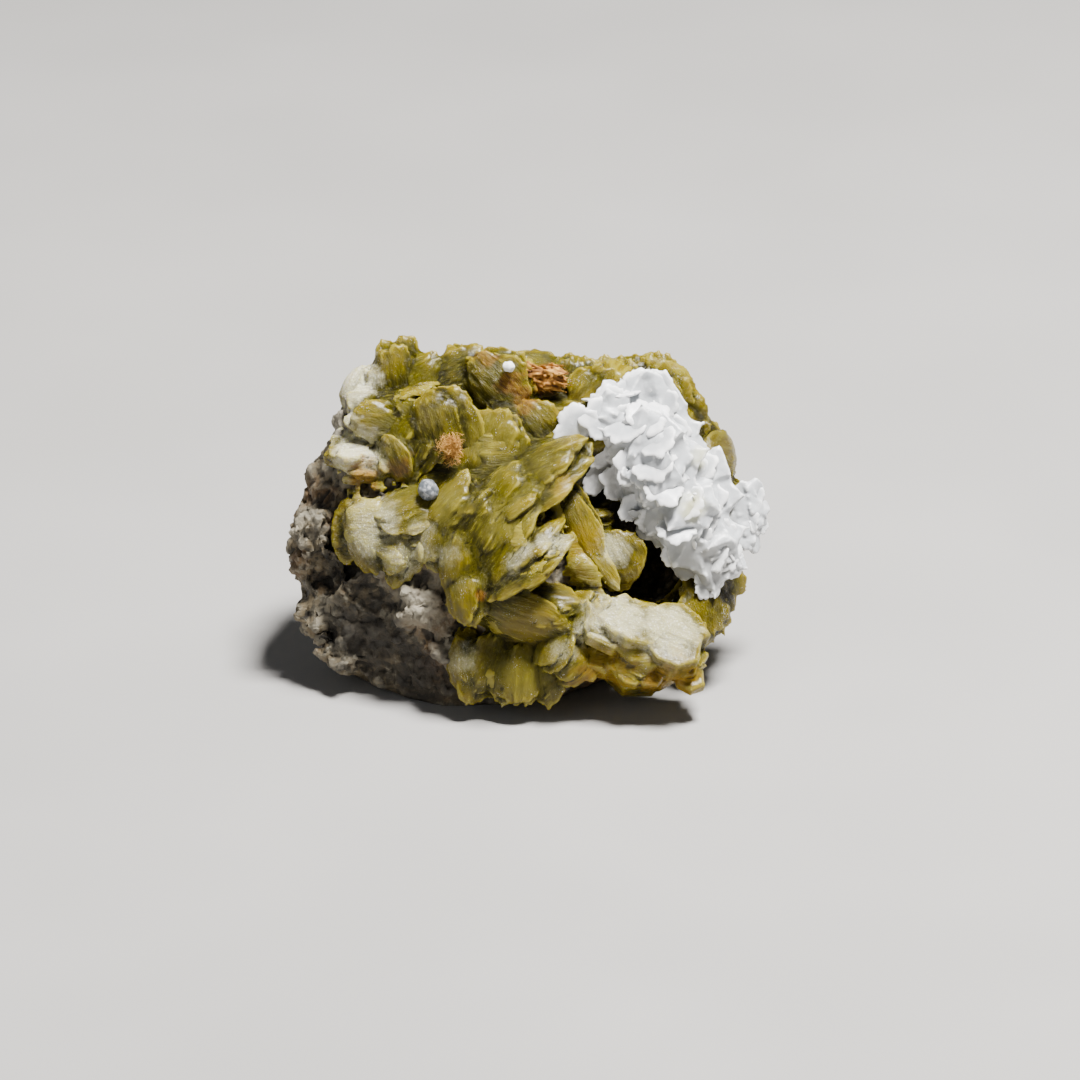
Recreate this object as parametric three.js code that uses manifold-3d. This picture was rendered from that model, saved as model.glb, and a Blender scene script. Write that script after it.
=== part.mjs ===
// A hand specimen of siderite with dolomite: lens-shaped olive siderite crystals on a lump of
// pale rock, with a cavity on the right and white saddle-shaped dolomite crystals over it.
// Millimetres, +Z up, the viewer on the -Y side. The origin is on the ground under the middle.
import * as THREE from 'three';
import { mergeVertices } from 'three/addons/utils/BufferGeometryUtils.js';
import Module from 'manifold-3d';

const wasm = await Module();
wasm.setup();

// Driving dimensions
const GAP = 0.3; // left between two pieces that touch
const VIEW_TILT = THREE.MathUtils.degToRad(25); // the face is laid out as seen from this high
const FACE_MIDDLE = new THREE.Vector3(-0.3, -1.35, 19.5); // where the face's layout is measured from
const GROUND_SIZE = 160;
const GROUND_DEPTH = 40;

// Places on the face are [across, rise, toward the viewer]
const ROCK = {
  centre: [-2, -4, -6.5],
  depth: 14.5,
  roundness: 2.2,
  lump: 0.055, // height of its lumps as a share of its size
  rough: 0.22, // the same for the single lumps on it
  detail: 4,
  // Angle round the face in degrees, and how far the rock reaches there
  outline: [
    [0, 24], [30, 25], [47, 26.5], [65, 23.5], [90, 20.5], [120, 22.5], [134, 26.5], [150, 27],
    [166, 28], [190, 28.5], [203, 27.9], [216, 26.2], [233, 23.7], [260, 23], [290, 20.1],
    [308, 20.3], [335, 22.5],
  ],
};
// Flat faces where the rock broke: the way each one looks, and its distance from the centre
const FRACTURES = [
  [new THREE.Vector3(0.15, 0.62, -0.77), 14.5],
  [new THREE.Vector3(-0.45, -0.1, -0.89), 14],
  [new THREE.Vector3(0.55, -0.05, -0.83), 15],
  [new THREE.Vector3(-0.8, -0.58, -0.1), 25.5],
];
// Lumps that stand out of the rock, and pits in it: place on the face, half sizes
const ROCK_LUMPS = [
  [[-20.6, 16.2, 0], [3.2, 3.0, 3.4]],
  [[-17.6, 17.6, -0.6], [2.6, 2.8, 2.8]],
  [[-21.6, 11.2, 0.6], [2.8, 5.8, 3.6]],
  [[-25.6, -0.6, 0.2], [4.2, 4.6, 4.2]],
  [[-26.2, -11.0, -2.8], [3.8, 4.2, 4.4]],
  [[-22.6, -16.0, -2.0], [4.2, 3.6, 4.6]],
  [[-13.4, -9.6, 5.4], [5.0, 4.4, 3.6]],
  [[-9.4, -15.4, 4.4], [4.2, 4.0, 3.4]],
];
const ROCK_PITS = [
  [[-22.6, -0.8, 5.2], [3.0, 6.2, 4.0]],
  [[-19.4, -9.8, 7.2], [4.4, 4.6, 3.6]],
  [[-25.6, -6.4, 2.6], [2.4, 2.8, 3.0]],
  [[-16.4, -16.4, 5.8], [3.6, 2.6, 3.0]],
];
const CRUST = {
  shift: [2.2, 2.2, 1.1], // it is thickest to the right, on top and on the upper face
  depth: 0.8, // where its crystals are rooted, as a share of the shift
  detail: 3,
  lowest: 5,
};
const CAVITY = {
  centre: [13.5, -3.5, 5],
  radii: [8, 6.5, 9.5],
};

// Siderite crystals on the face: [across, rise, toward], length, width, thickness, turn, lean
const TOP_ROW = [
  [[-14.2, 19.0, 1.0], 8.6, 8.4, 2.0, 85, -8],
  [[-13.6, 17.3, 3.0], 9.5, 8.5, 2.2, 12, 62],
  [[-7.7, 18.4, 2.0], 8.2, 7.6, 2.4, 20, 12],
  [[-3.8, 17.6, 3.6], 10.0, 9.0, 3.0, -45, -22],
  [[-1.4, 14.6, 4.2], 7.5, 6.5, 2.2, -20, 30],
  [[1.2, 18.8, 0.6], 9.4, 8.4, 2.6, -14, 45],
  [[6.4, 17.5, 0.2], 8.4, 8.2, 2.6, 80, 5],
  [[8.6, 16.4, 1.6], 7.0, 6.5, 2.0, 55, -12],
];
const RIGHT_RIM = [
  [[11.4, 18.6, -2.0], 9.0, 8.0, 2.8, 80, -8],
  [[15.2, 18.9, -3.0], 9.6, 8.0, 3.0, 75, 10],
  [[18.4, 17.6, -3.2], 9.6, 8.0, 3.0, 58, -10],
  [[20.6, 14.6, -3.6], 9.0, 7.6, 2.8, 35, 15],
  [[22.0, 11.0, -4.0], 9.4, 8.0, 2.8, 75, -20],
  [[23.4, 7.2, -4.2], 9.4, 8.0, 2.8, 60, 22],
  [[24.4, 3.0, -4.4], 9.0, 8.0, 2.8, 80, -20],
  [[24.4, -1.6, -4.0], 9.0, 8.0, 2.8, 95, -18],
  [[24.0, -6.0, -2.6], 9.0, 7.8, 3.0, 100, -25],
  [[23.2, -9.6, 0.6], 8.6, 7.4, 3.0, 110, -30],
];
const LEFT_GROUP = [
  [[-18.8, 14.4, 2.6], 7.2, 6.4, 2.2, -10, 22],
  [[-18.4, 12.4, 4.2], 6.8, 6.0, 2.4, -14, -14],
  [[-15.2, 12.0, 4.6], 8.6, 7.2, 2.2, 52, 30],
  [[-12.8, 14.0, 4.2], 7.4, 6.4, 2.2, -22, 28],
  [[-21.0, 7.2, 4.4], 7.4, 6.6, 2.4, 8, 58],
  [[-21.4, 9.6, 3.0], 6.4, 5.4, 2.2, 20, 30],
  [[-15.8, 8.2, 5.4], 7.4, 5.0, 2.2, -58, -38],
  [[-12.6, 10.2, 5.2], 9.4, 7.4, 2.4, 68, 35],
  [[-9.2, 12.2, 6.0], 11.0, 9.0, 2.8, 100, 8],
  [[-14.0, 2.0, 7.0], 9.2, 7.4, 2.6, 20, 38],
  [[-19.0, -0.4, 6.0], 10.8, 8.6, 3.6, 108, 8],
  [[-15.2, -2.8, 7.6], 8.4, 6.4, 2.8, 62, 20],
];
const MIDDLE_BLADES = [
  [[-3.0, 10.2, 6.6], 9.4, 8.6, 2.8, 30, 12],
  [[1.6, 11.8, 4.6], 8.4, 7.2, 2.4, -52, -12],
  [[2.8, 6.8, 8.2], 14.0, 8.6, 3.0, 31, 36],
  [[-1.8, 4.6, 8.8], 9.6, 7.4, 2.6, 42, 45],
  [[-2.2, -1.4, 10.4], 13.0, 9.2, 3.0, 62, 50],
  [[-5.6, 0.8, 9.2], 10.4, 7.4, 2.6, 58, 48],
  [[-8.4, 2.6, 8.4], 9.4, 6.6, 2.4, 50, 42],
  [[0.4, -4.6, 12.2], 13.0, 8.2, 2.8, 39, 48],
  [[5.2, -1.6, 7.4], 12.0, 9.0, 2.4, -72, -14],
  [[8.0, -5.8, 8.4], 8.4, 5.0, 2.0, -38, -10],
  [[-10.4, -1.2, 8.6], 8.4, 5.6, 2.4, 74, 28],
  [[-7.6, -4.4, 10.0], 9.2, 5.6, 2.4, 80, 20],
  [[-6.8, -8.2, 10.6], 8.4, 5.4, 2.4, 95, 24],
];
const LOWER_BLADES = [
  [[-0.2, -12.0, 9.8], 13.0, 8.4, 3.2, -12, -38],
  [[2.8, -9.8, 9.4], 8.4, 6.4, 2.0, -10, 42],
  [[-3.0, -17.6, 7.4], 10.0, 8.2, 2.8, 80, -20],
  [[0.2, -18.0, 7.6], 9.2, 7.4, 2.6, 100, -14],
  [[-6.2, -17.0, 7.2], 9.2, 5.6, 2.6, 95, 10],
  [[7.4, -12.0, 9.6], 6.4, 4.0, 1.6, 75, 50],
  [[9.6, -12.2, 9.2], 6.4, 4.4, 1.6, 95, -50],
  [[4.4, -14.8, 9.4], 7.0, 5.4, 2.4, 65, 38],
  [[6.6, -17.0, 8.4], 7.0, 6.0, 2.8, 45, 10],
];
const LEDGE = [
  [[14.6, -13.0, 7.4], 17.0, 13.0, 5.0, -22, 42],
  [[13.2, -15.6, 4.2], 19.0, 11.0, 9.0, -12, 20],
  [[13.6, -17.6, 8.8], 9.4, 6.6, 3.6, -4, 20],
  [[20.0, -16.8, 6.8], 8.4, 7.4, 4.2, -20, 30],
  [[8.2, -9.4, 8.2], 7.4, 6.4, 2.6, 18, 48],
];
const CAVITY_CRYSTALS = [
  [[8.6, 0.9, 2.4], 5.6, 5.0, 1.0, 0, 70],
  [[8.6, -0.1, 2.8], 5.6, 5.0, 1.0, 4, 74],
  [[11.2, -4.2, 3.4], 7.6, 7.2, 2.2, -60, -10],
  [[7.4, -3.6, 3.0], 7.6, 7.0, 2.4, 40, 20],
];

// Dolomite crystals on the face: [across, rise, toward], size, turn, lean
const DOLOMITE_OUTLINE = [
  [[6.2, 12.9, 5.6], 5.6, 40, -14],
  [[10.8, 14.4, 5.4], 6.4, 62, -18],
  [[14.0, 17.6, 3.4], 5.0, 20, 8],
  [[16.6, 17.2, 3.0], 5.2, 65, 5],
  [[18.6, 15.4, 2.6], 4.8, 35, 12],
  [[20.4, 11.6, 2.2], 5.4, 75, 18],
  [[23.2, 7.4, 2.0], 6.4, 20, 25],
  [[25.0, 3.4, 2.0], 6.0, 50, 25],
  [[26.0, -1.2, 2.2], 5.0, 70, 20],
  [[26.0, -5.0, 2.0], 4.8, 30, 0],
  [[23.4, -6.8, 2.6], 5.0, 60, -20],
  [[19.6, -3.0, 3.8], 5.4, 25, -25],
  [[17.0, 1.0, 4.6], 6.0, 10, -28],
  [[13.6, 2.4, 4.6], 4.4, 60, -30],
  [[11.6, 5.6, 4.0], 5.0, 80, -35],
  [[10.2, 9.6, 4.8], 5.4, 50, -30],
  [[13.6, 7.0, 6.6], 5.6, 70, -20],
  [[17.0, 6.2, 7.2], 6.6, 30, -5],
  [[19.6, 1.4, 6.4], 6.0, 15, 10],
  [[14.4, 12.0, 6.8], 6.6, 45, 5],
];

// Centre line, half width and lift of the dolomite band: [across, rise, toward], half width
const DOLOMITE_BAND = [
  [[9.0, 12.6, 3.6], 3.2],
  [[13.4, 12.8, 3.2], 4.4],
  [[17.0, 9.4, 2.6], 6.0],
  [[19.4, 4.4, 2.4], 6.0],
  [[22.4, -0.8, 1.6], 4.4],
  [[24.6, -5.0, 1.0], 2.6],
];
const SIDE_BAND = [
  [[27.4, 5.0, -5.0], 1.2],
  [[27.8, 1.6, -5.0], 1.6],
  [[27.4, -2.0, -4.6], 1.2],
];
// More crystals, spread evenly over the top, the right side and the upper back
const SPREAD = {
  count: 64, // round the whole rock; only the covered part keeps its crystals
  seed: 907,
  length: [7, 11],
  slender: [0.75, 0.95], // width as a share of the length
  flat: [0.24, 0.34], // thickness as a share of the length
  tip: 40, // degrees that a crystal may tip away from the surface
  covered: 0.9, // how far a direction must look the crust's way to be covered
  front: 0.3, // directions that look further forward belong to the face
};
const GOLDEN_ANGLE = Math.PI * (3 - Math.sqrt(5));

// Single grains and iron oxide that sit on the siderite
const GRAINS = {
  dolomite_grain: { at: [-1.9, 19.9, 6.9], size: [1.8, 1.6, 1.4], detail: 0 },
  quartz_grain: { at: [-11.9, 4.5, 8.6], size: [2.6, 2.8, 2.4], detail: 1 },
  limonite_tuft: { at: [-8.9, 9.8, 8.6], size: [3.2, 4.4, 2.0], detail: 1 },
  limonite_crust: { at: [2.2, 18.6, 3.4], size: [6.4, 3.4, 2.4], detail: 1 },
};

const MATERIALS = {
  matrix: { color: 0xb5ab96, roughness: 0.9 },
  siderite: { color: 0x8a8030, roughness: 0.4 },
  dolomite: { color: 0xf2f2f0, roughness: 0.35 },
  quartz: { color: 0x9aa4ad, roughness: 0.45 },
  limonite: { color: 0xb07030, roughness: 0.95 },
};

// Directions of the face
const ACROSS = new THREE.Vector3(1, 0, 0);
const RISE = new THREE.Vector3(0, Math.sin(VIEW_TILT), Math.cos(VIEW_TILT));
const TOWARD = new THREE.Vector3(0, -Math.cos(VIEW_TILT), Math.sin(VIEW_TILT));

function onFace(across, rise, toward) {
  return FACE_MIDDLE.clone()
    .addScaledVector(ACROSS, across)
    .addScaledVector(RISE, rise)
    .addScaledVector(TOWARD, toward);
}

// The repeatable random numbers that every scatter draws from
function makeRandom(seed) {
  const MULTIPLIER = 16807;
  const MODULUS = 2147483647;
  let state = seed;
  return (low = 0, high = 1) => {
    state = (state * MULTIPLIER) % MODULUS;
    return low + ((high - low) * state) / MODULUS;
  };
}

// Value noise between -1 and 1, used for the lumps of the rock
function latticeValue(i, j, k) {
  const wave = Math.sin(i * 127.1 + j * 311.7 + k * 74.7) * 43758.5453;
  return (wave - Math.floor(wave)) * 2 - 1;
}

function noise(point) {
  const base = point.clone().floor();
  const f = point.clone().sub(base);
  const ease = (t) => t * t * (3 - 2 * t);
  let sum = 0;
  for (let corner = 0; corner < 8; corner++) {
    const dx = corner & 1;
    const dy = (corner >> 1) & 1;
    const dz = corner >> 2;
    const weight =
      (dx ? ease(f.x) : 1 - ease(f.x)) *
      (dy ? ease(f.y) : 1 - ease(f.y)) *
      (dz ? ease(f.z) : 1 - ease(f.z));
    sum += weight * latticeValue(base.x + dx, base.y + dy, base.z + dz);
  }
  return sum;
}

// A mesh with merged corners as a solid that can be cut and joined
function toSolid(geometry) {
  const bare = geometry.clone();
  bare.deleteAttribute('normal');
  bare.deleteAttribute('uv');
  const merged = mergeVertices(bare, 1e-4);
  return new wasm.Manifold(
    new wasm.Mesh({
      numProp: 3,
      vertProperties: merged.attributes.position.array,
      triVerts: new Uint32Array(merged.index.array),
    }),
  );
}

// The solid's outer skin as a geometry: loose crumbs and closed bubbles are left out
function toGeometry(solid) {
  const mesh = solid.getMesh();
  const skin = largestSkin(mesh.vertProperties, mesh.numProp, mesh.triVerts);
  return new THREE.BufferGeometry()
    .setAttribute('position', new THREE.BufferAttribute(new Float32Array(skin), 3));
}

function largestSkin(properties, stride, triangles) {
  const corner = (v) => new THREE.Vector3().fromArray(properties, v * stride);
  const owner = Array.from({ length: properties.length / stride }, (_, v) => v);
  const find = (v) => {
    while (owner[v] !== v) {
      owner[v] = owner[owner[v]];
      v = owner[v];
    }
    return v;
  };
  for (let t = 0; t < triangles.length; t += 3) {
    owner[find(triangles[t + 1])] = find(triangles[t]);
    owner[find(triangles[t + 2])] = find(triangles[t]);
  }
  const volumes = new Map();
  for (let t = 0; t < triangles.length; t += 3) {
    const [a, b, c] = [corner(triangles[t]), corner(triangles[t + 1]), corner(triangles[t + 2])];
    const root = find(triangles[t]);
    volumes.set(root, (volumes.get(root) ?? 0) + a.dot(b.cross(c)) / 6);
  }
  const [largest] = [...volumes].sort((a, b) => b[1] - a[1])[0];
  const kept = [];
  for (let t = 0; t < triangles.length; t += 3) {
    if (find(triangles[t]) !== largest) continue;
    for (let n = 0; n < 3; n++) kept.push(...corner(triangles[t + n]).toArray());
  }
  return kept;
}

// Moves every corner of a geometry by a rule; shared corners move together
function reshape(geometry, rule) {
  const position = geometry.attributes.position;
  const point = new THREE.Vector3();
  for (let i = 0; i < position.count; i++) {
    rule(point.fromBufferAttribute(position, i));
    position.setXYZ(i, point.x, point.y, point.z);
  }
  return geometry;
}

// Turns a shape that was built flat, then sets it on the face. Its length runs at `turn`
// degrees from the right, and `lean` degrees tips its front towards its upper long edge.
function placeOnFace(geometry, { at, turn = 0, lean = 0 }) {
  const basis = new THREE.Matrix4().makeBasis(ACROSS, RISE, TOWARD);
  const spin = new THREE.Matrix4().makeRotationZ(THREE.MathUtils.degToRad(turn));
  const tip = new THREE.Matrix4().makeRotationX(-THREE.MathUtils.degToRad(lean));
  geometry.applyMatrix4(tip).applyMatrix4(spin).applyMatrix4(basis);
  const centre = onFace(...at);
  return geometry.translate(centre.x, centre.y, centre.z);
}

// How far the rock's outline reaches at an angle round the face
function outlineReach(angle) {
  const degrees = (THREE.MathUtils.radToDeg(angle) + 360) % 360;
  const after = ROCK.outline.findIndex(([start]) => start > degrees);
  const [toAngle, toReach] = after < 0 ? [360, ROCK.outline[0][1]] : ROCK.outline[after];
  const [fromAngle, fromReach] = ROCK.outline.at(after < 0 ? -1 : after - 1);
  const share = (degrees - fromAngle) / (toAngle - fromAngle);
  return fromReach + (toReach - fromReach) * share;
}

// Distance from the rock's centre to its smooth surface, in a direction given on the face
function rockReach(direction, grow) {
  const n = ROCK.roundness;
  const side = Math.hypot(direction.x, direction.y);
  const outline = outlineReach(Math.atan2(direction.y, direction.x)) + grow;
  const sum = (side / outline) ** n + (Math.abs(direction.z) / (ROCK.depth + grow)) ** n;
  const broken = FRACTURES.map(([normal, distance]) => {
    const facing = direction.dot(normal);
    return facing > 0 ? (distance + grow) / facing : Infinity;
  });
  return Math.min(sum ** (-1 / n), ...broken);
}

function rockBody(grow, detail) {
  const ball = new THREE.IcosahedronGeometry(1, detail);
  return reshape(ball, (p) => {
    const direction = p.clone().normalize();
    const coarse = noise(direction.clone().multiplyScalar(2.6));
    const fine = noise(direction.clone().multiplyScalar(6.5));
    const lumps = 1 + ROCK.lump * (coarse + fine);
    p.copy(direction).multiplyScalar(rockReach(direction, grow) * lumps);
  });
}

function groundBelow(height) {
  const box = new THREE.BoxGeometry(GROUND_SIZE, GROUND_SIZE, GROUND_DEPTH);
  return toSolid(box.translate(0, 0, height - GROUND_DEPTH / 2));
}

// An egg shape on the face; `rough` makes it an uneven lump
function egg(at, halfSizes, grow, detail, rough = 0) {
  const [across, rise, toward] = halfSizes;
  const ball = new THREE.IcosahedronGeometry(1, detail);
  reshape(ball, (p) => p.multiplyScalar(1 + rough * noise(p.clone().multiplyScalar(across + rise))));
  ball.scale(across + grow, rise + grow, toward + grow);
  return toSolid(placeOnFace(ball, { at }));
}

const join = (solids) => solids.reduce((whole, solid) => whole.add(solid));

function rock(grow) {
  const body = toSolid(placeOnFace(rockBody(grow, ROCK.detail), { at: ROCK.centre }));
  const lumps = ROCK_LUMPS.map(([at, halfSizes]) => egg(at, halfSizes, grow, 0, ROCK.rough));
  const pits = ROCK_PITS.map(([at, halfSizes]) => egg(at, halfSizes, -grow, 1));
  const hollow = egg(CAVITY.centre, CAVITY.radii, -grow, 2);
  return join([body, ...lumps]).subtract(join(pits)).subtract(hollow).subtract(groundBelow(0));
}

// One siderite crystal: a lens with a sharp, uneven rim. A large one has a flat-topped front.
function lens(length, width, thickness, seed, grow) {
  const SIDES = 8;
  const SHOULDER = 0.62; // where the flat top starts, as a share of the radius
  const SMALL = 8;
  const random = makeRandom(seed);
  const rims = Array.from({ length: SIDES }, () => random(0.84, 1.06));
  const half = thickness / 2 + grow;
  const profile = [
    new THREE.Vector2(0, -half),
    new THREE.Vector2(1, 0),
    ...(length > SMALL ? [new THREE.Vector2(SHOULDER, half * 0.82)] : []),
    new THREE.Vector2(0, half),
  ];
  const disc = new THREE.LatheGeometry(profile, SIDES).rotateX(Math.PI / 2);
  return reshape(disc, (p) => {
    const side = Math.round((Math.atan2(p.y, p.x) / (2 * Math.PI)) * SIDES + SIDES) % SIDES;
    p.x *= rims[side] * (length / 2 + grow);
    p.y *= rims[side] * (width / 2 + grow);
  });
}

// One dolomite crystal: a small rhomb whose faces bend like a saddle
function saddle(size, bend, facets) {
  const thickness = size * 0.3;
  const plate = new THREE.BoxGeometry(1, 1, 1, facets, facets, 1);
  return reshape(plate, (p) => {
    const curl = 4 * bend * p.x * p.y;
    const corner = Math.abs(p.x) > 0.4 && Math.abs(p.y) > 0.4;
    const pull = corner ? 0.88 : 1.08;
    p.x *= pull * size;
    p.y *= pull * size * 0.86;
    p.z = p.z * thickness + curl;
  });
}

function faceCrystals(grow) {
  const listed = [
    ...TOP_ROW,
    ...RIGHT_RIM,
    ...LEFT_GROUP,
    ...MIDDLE_BLADES,
    ...LOWER_BLADES,
    ...LEDGE,
    ...CAVITY_CRYSTALS,
  ];
  return listed.map(([at, length, width, thickness, turn, lean], i) =>
    toSolid(placeOnFace(lens(length, width, thickness, i + 1, grow), { at, turn, lean })),
  );
}

function spreadCrystals(grow) {
  const random = makeRandom(SPREAD.seed);
  const shift = new THREE.Vector3(...CRUST.shift);
  const made = [];
  for (let i = 0; i < SPREAD.count; i++) {
    const height = 1 - (2 * (i + 0.5)) / SPREAD.count;
    const ring = Math.sqrt(1 - height * height);
    const angle = i * GOLDEN_ANGLE;
    const direction = new THREE.Vector3(ring * Math.cos(angle), ring * Math.sin(angle), height);
    const length = random(...SPREAD.length);
    const width = length * random(...SPREAD.slender);
    const thickness = length * random(...SPREAD.flat);
    const turn = random(0, 360);
    const tip = random(-SPREAD.tip, SPREAD.tip);
    const isBare = direction.dot(shift) < SPREAD.covered;
    if (isBare || direction.z > SPREAD.front) continue;
    const disc = lens(length, width, thickness, 500 + i, grow)
      .rotateX(THREE.MathUtils.degToRad(tip))
      .rotateZ(THREE.MathUtils.degToRad(turn));
    const outward = new THREE.Quaternion().setFromUnitVectors(
      new THREE.Vector3(0, 0, 1),
      direction,
    );
    const foot = direction.clone().multiplyScalar(rockReach(direction, 0));
    foot.addScaledVector(shift, CRUST.depth);
    disc.applyQuaternion(outward).translate(foot.x, foot.y, foot.z);
    made.push(toSolid(placeOnFace(disc, { at: ROCK.centre })));
  }
  return made;
}

// The massive siderite that the crystals grow from, a crescent round the front, right and top
function crust(grow) {
  const at = ROCK.centre.map((value, i) => value + CRUST.shift[i]);
  const body = toSolid(placeOnFace(rockBody(grow, CRUST.detail), { at }));
  const hollow = egg(CAVITY.centre, CAVITY.radii, -grow, 2);
  return body.subtract(hollow).subtract(groundBelow(CRUST.lowest - grow));
}

function siderite(grow) {
  return join([crust(grow), ...faceCrystals(grow), ...spreadCrystals(grow)]);
}

// Saddles scattered along a band, in rows across it
function bandSaddles(band, { rows, across, size, seed }) {
  const random = makeRandom(seed);
  const made = [];
  for (let i = 0; i < (band.length - 1) * rows * across; i++) {
    const step = Math.floor(i / (rows * across));
    const row = Math.floor(i / across) % rows;
    const share = (row + random(0.2, 0.8)) / rows;
    const side = (((i % across) + random(0.2, 0.8)) / across) * 2 - 1;
    const [from, fromHalf] = band[step];
    const [to, toHalf] = band[step + 1];
    const start = new THREE.Vector3(...from);
    const along = new THREE.Vector3(...to).sub(start);
    const sideways = new THREE.Vector3(-along.y, along.x, 0).normalize();
    const half = fromHalf + (toHalf - fromHalf) * share;
    const at = start.addScaledVector(along, share).addScaledVector(sideways, side * half);
    at.z += (1 - side * side) * half * 0.7;
    const plate = saddle(size * random(0.85, 1.2), random(0.5, 0.9), 1);
    const turn = random(0, 180);
    const lean = random(-45, 45);
    made.push(toSolid(placeOnFace(plate, { at: at.toArray(), turn, lean })));
  }
  return made;
}

// The ridge of massive dolomite inside the band, which joins its crystals
function bandCore(band) {
  return band.map(([at, half]) => egg(at, [half, half, half * 0.6], 0, 0));
}

function dolomiteCluster() {
  const outline = DOLOMITE_OUTLINE.map(([at, size, turn, lean]) =>
    toSolid(placeOnFace(saddle(size, 0.8, 1), { at, turn, lean })),
  );
  const scatter = { rows: 1, across: 2, size: 5.8, seed: 31 };
  return join([
    ...bandCore(DOLOMITE_BAND),
    ...outline,
    ...bandSaddles(DOLOMITE_BAND, scatter),
  ]);
}

function sideCluster() {
  const scatter = { rows: 2, across: 2, size: 3.8, seed: 77 };
  return join([...bandCore(SIDE_BAND), ...bandSaddles(SIDE_BAND, scatter)]);
}

function grain({ at, size, detail }) {
  const ball = new THREE.IcosahedronGeometry(0.5, detail).scale(...size);
  return toSolid(placeOnFace(ball, { at }));
}

function addPiece(group, name, solid, look) {
  const finish = new THREE.MeshStandardMaterial({ ...MATERIALS[look], metalness: 0 });
  const mesh = new THREE.Mesh(toGeometry(solid), finish);
  mesh.name = name;
  group.add(mesh);
}

function buildSpecimen() {
  const group = new THREE.Group();
  const rockRoom = rock(GAP);
  const sideriteRoom = siderite(GAP);
  const cluster = dolomiteCluster().subtract(rockRoom).subtract(sideriteRoom);
  addPiece(group, 'matrix', rock(0), 'matrix');
  addPiece(group, 'siderite_crystals', siderite(0).subtract(rockRoom), 'siderite');
  addPiece(group, 'dolomite_cluster', cluster, 'dolomite');
  addPiece(
    group,
    'dolomite_side_cluster',
    sideCluster().subtract(rockRoom).subtract(sideriteRoom),
    'dolomite',
  );
  for (const [name, shape] of Object.entries(GRAINS)) {
    const solid = grain(shape).subtract(rockRoom).subtract(sideriteRoom);
    addPiece(group, name, solid, name.split('_')[0]);
  }
  return group;
}

export default buildSpecimen();
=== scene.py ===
import math
import random

import bpy
import numpy as np
from mathutils import Matrix, Vector, noise
from mathutils.bvhtree import BVHTree


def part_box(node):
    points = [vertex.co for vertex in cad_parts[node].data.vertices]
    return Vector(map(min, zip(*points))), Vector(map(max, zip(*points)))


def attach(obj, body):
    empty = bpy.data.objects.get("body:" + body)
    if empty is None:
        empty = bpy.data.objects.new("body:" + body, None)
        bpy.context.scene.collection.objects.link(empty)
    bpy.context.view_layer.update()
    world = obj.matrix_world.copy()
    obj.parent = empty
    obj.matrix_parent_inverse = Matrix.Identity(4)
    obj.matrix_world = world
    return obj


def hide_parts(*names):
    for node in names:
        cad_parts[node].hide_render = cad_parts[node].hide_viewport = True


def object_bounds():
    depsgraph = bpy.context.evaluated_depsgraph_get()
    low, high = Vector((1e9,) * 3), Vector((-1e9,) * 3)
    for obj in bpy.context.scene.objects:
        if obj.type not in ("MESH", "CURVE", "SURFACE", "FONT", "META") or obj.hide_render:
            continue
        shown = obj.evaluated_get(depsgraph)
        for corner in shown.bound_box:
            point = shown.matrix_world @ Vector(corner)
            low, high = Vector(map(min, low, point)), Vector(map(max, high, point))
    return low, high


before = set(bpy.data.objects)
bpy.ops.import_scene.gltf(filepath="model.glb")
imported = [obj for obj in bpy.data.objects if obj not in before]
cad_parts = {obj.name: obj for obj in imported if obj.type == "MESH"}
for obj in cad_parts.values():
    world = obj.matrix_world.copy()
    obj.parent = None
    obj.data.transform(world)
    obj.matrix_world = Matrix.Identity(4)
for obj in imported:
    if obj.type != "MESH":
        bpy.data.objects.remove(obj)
cad_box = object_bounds()

MM = 0.001

# The crystal face
VIEW_TILT = math.radians(25)
FACE_MIDDLE = Vector((-0.3, -1.35, 19.5)) * MM
UP = Vector((0, 0, 1))
ACROSS = Vector((1, 0, 0))
RISE = Vector((0, math.sin(VIEW_TILT), math.cos(VIEW_TILT)))
TOWARD = Vector((0, -math.cos(VIEW_TILT), math.sin(VIEW_TILT)))
FACE_BASIS = Matrix((ACROSS, RISE, TOWARD)).transposed().to_4x4()

# The photograph, whose framing the camera takes
PHOTO_SIZE = 1080
PHOTO_PER_MM = 8
PHOTO_FACE_MIDDLE = (524, 526)

# Siderite crystals on the face: [across, rise, toward], length, width, thickness, turn, lean
TOP_ROW = [
    [(-15, 18.2, 1.2), 10.6, 7.6, 3, 92, -10],
    [(-12.8, 17.4, 1.6), 9.4, 6.2, 2.4, 56, -6],
    [(-17.6, 16.8, 0.8), 8.4, 5.4, 2.2, 124, -8],
    [(-15.6, 15.8, 2.2), 9.5, 7, 2.4, 10, 56],
    [(-7.7, 18.4, 2), 8.2, 7.6, 2.4, 20, 12],
    [(-3.8, 17.6, 3.6), 10, 9, 3, -45, -22],
    [(-1.4, 14.6, 4.2), 7.5, 6.5, 2.2, -20, 30],
    [(1.2, 18.8, 0.6), 9.4, 8.4, 2.6, -14, 45],
    [(6.4, 17.5, 0.2), 8.4, 8.2, 2.6, 80, 5],
    [(8.6, 16.4, 1.6), 7, 6.5, 2, 55, -12],
]
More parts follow.
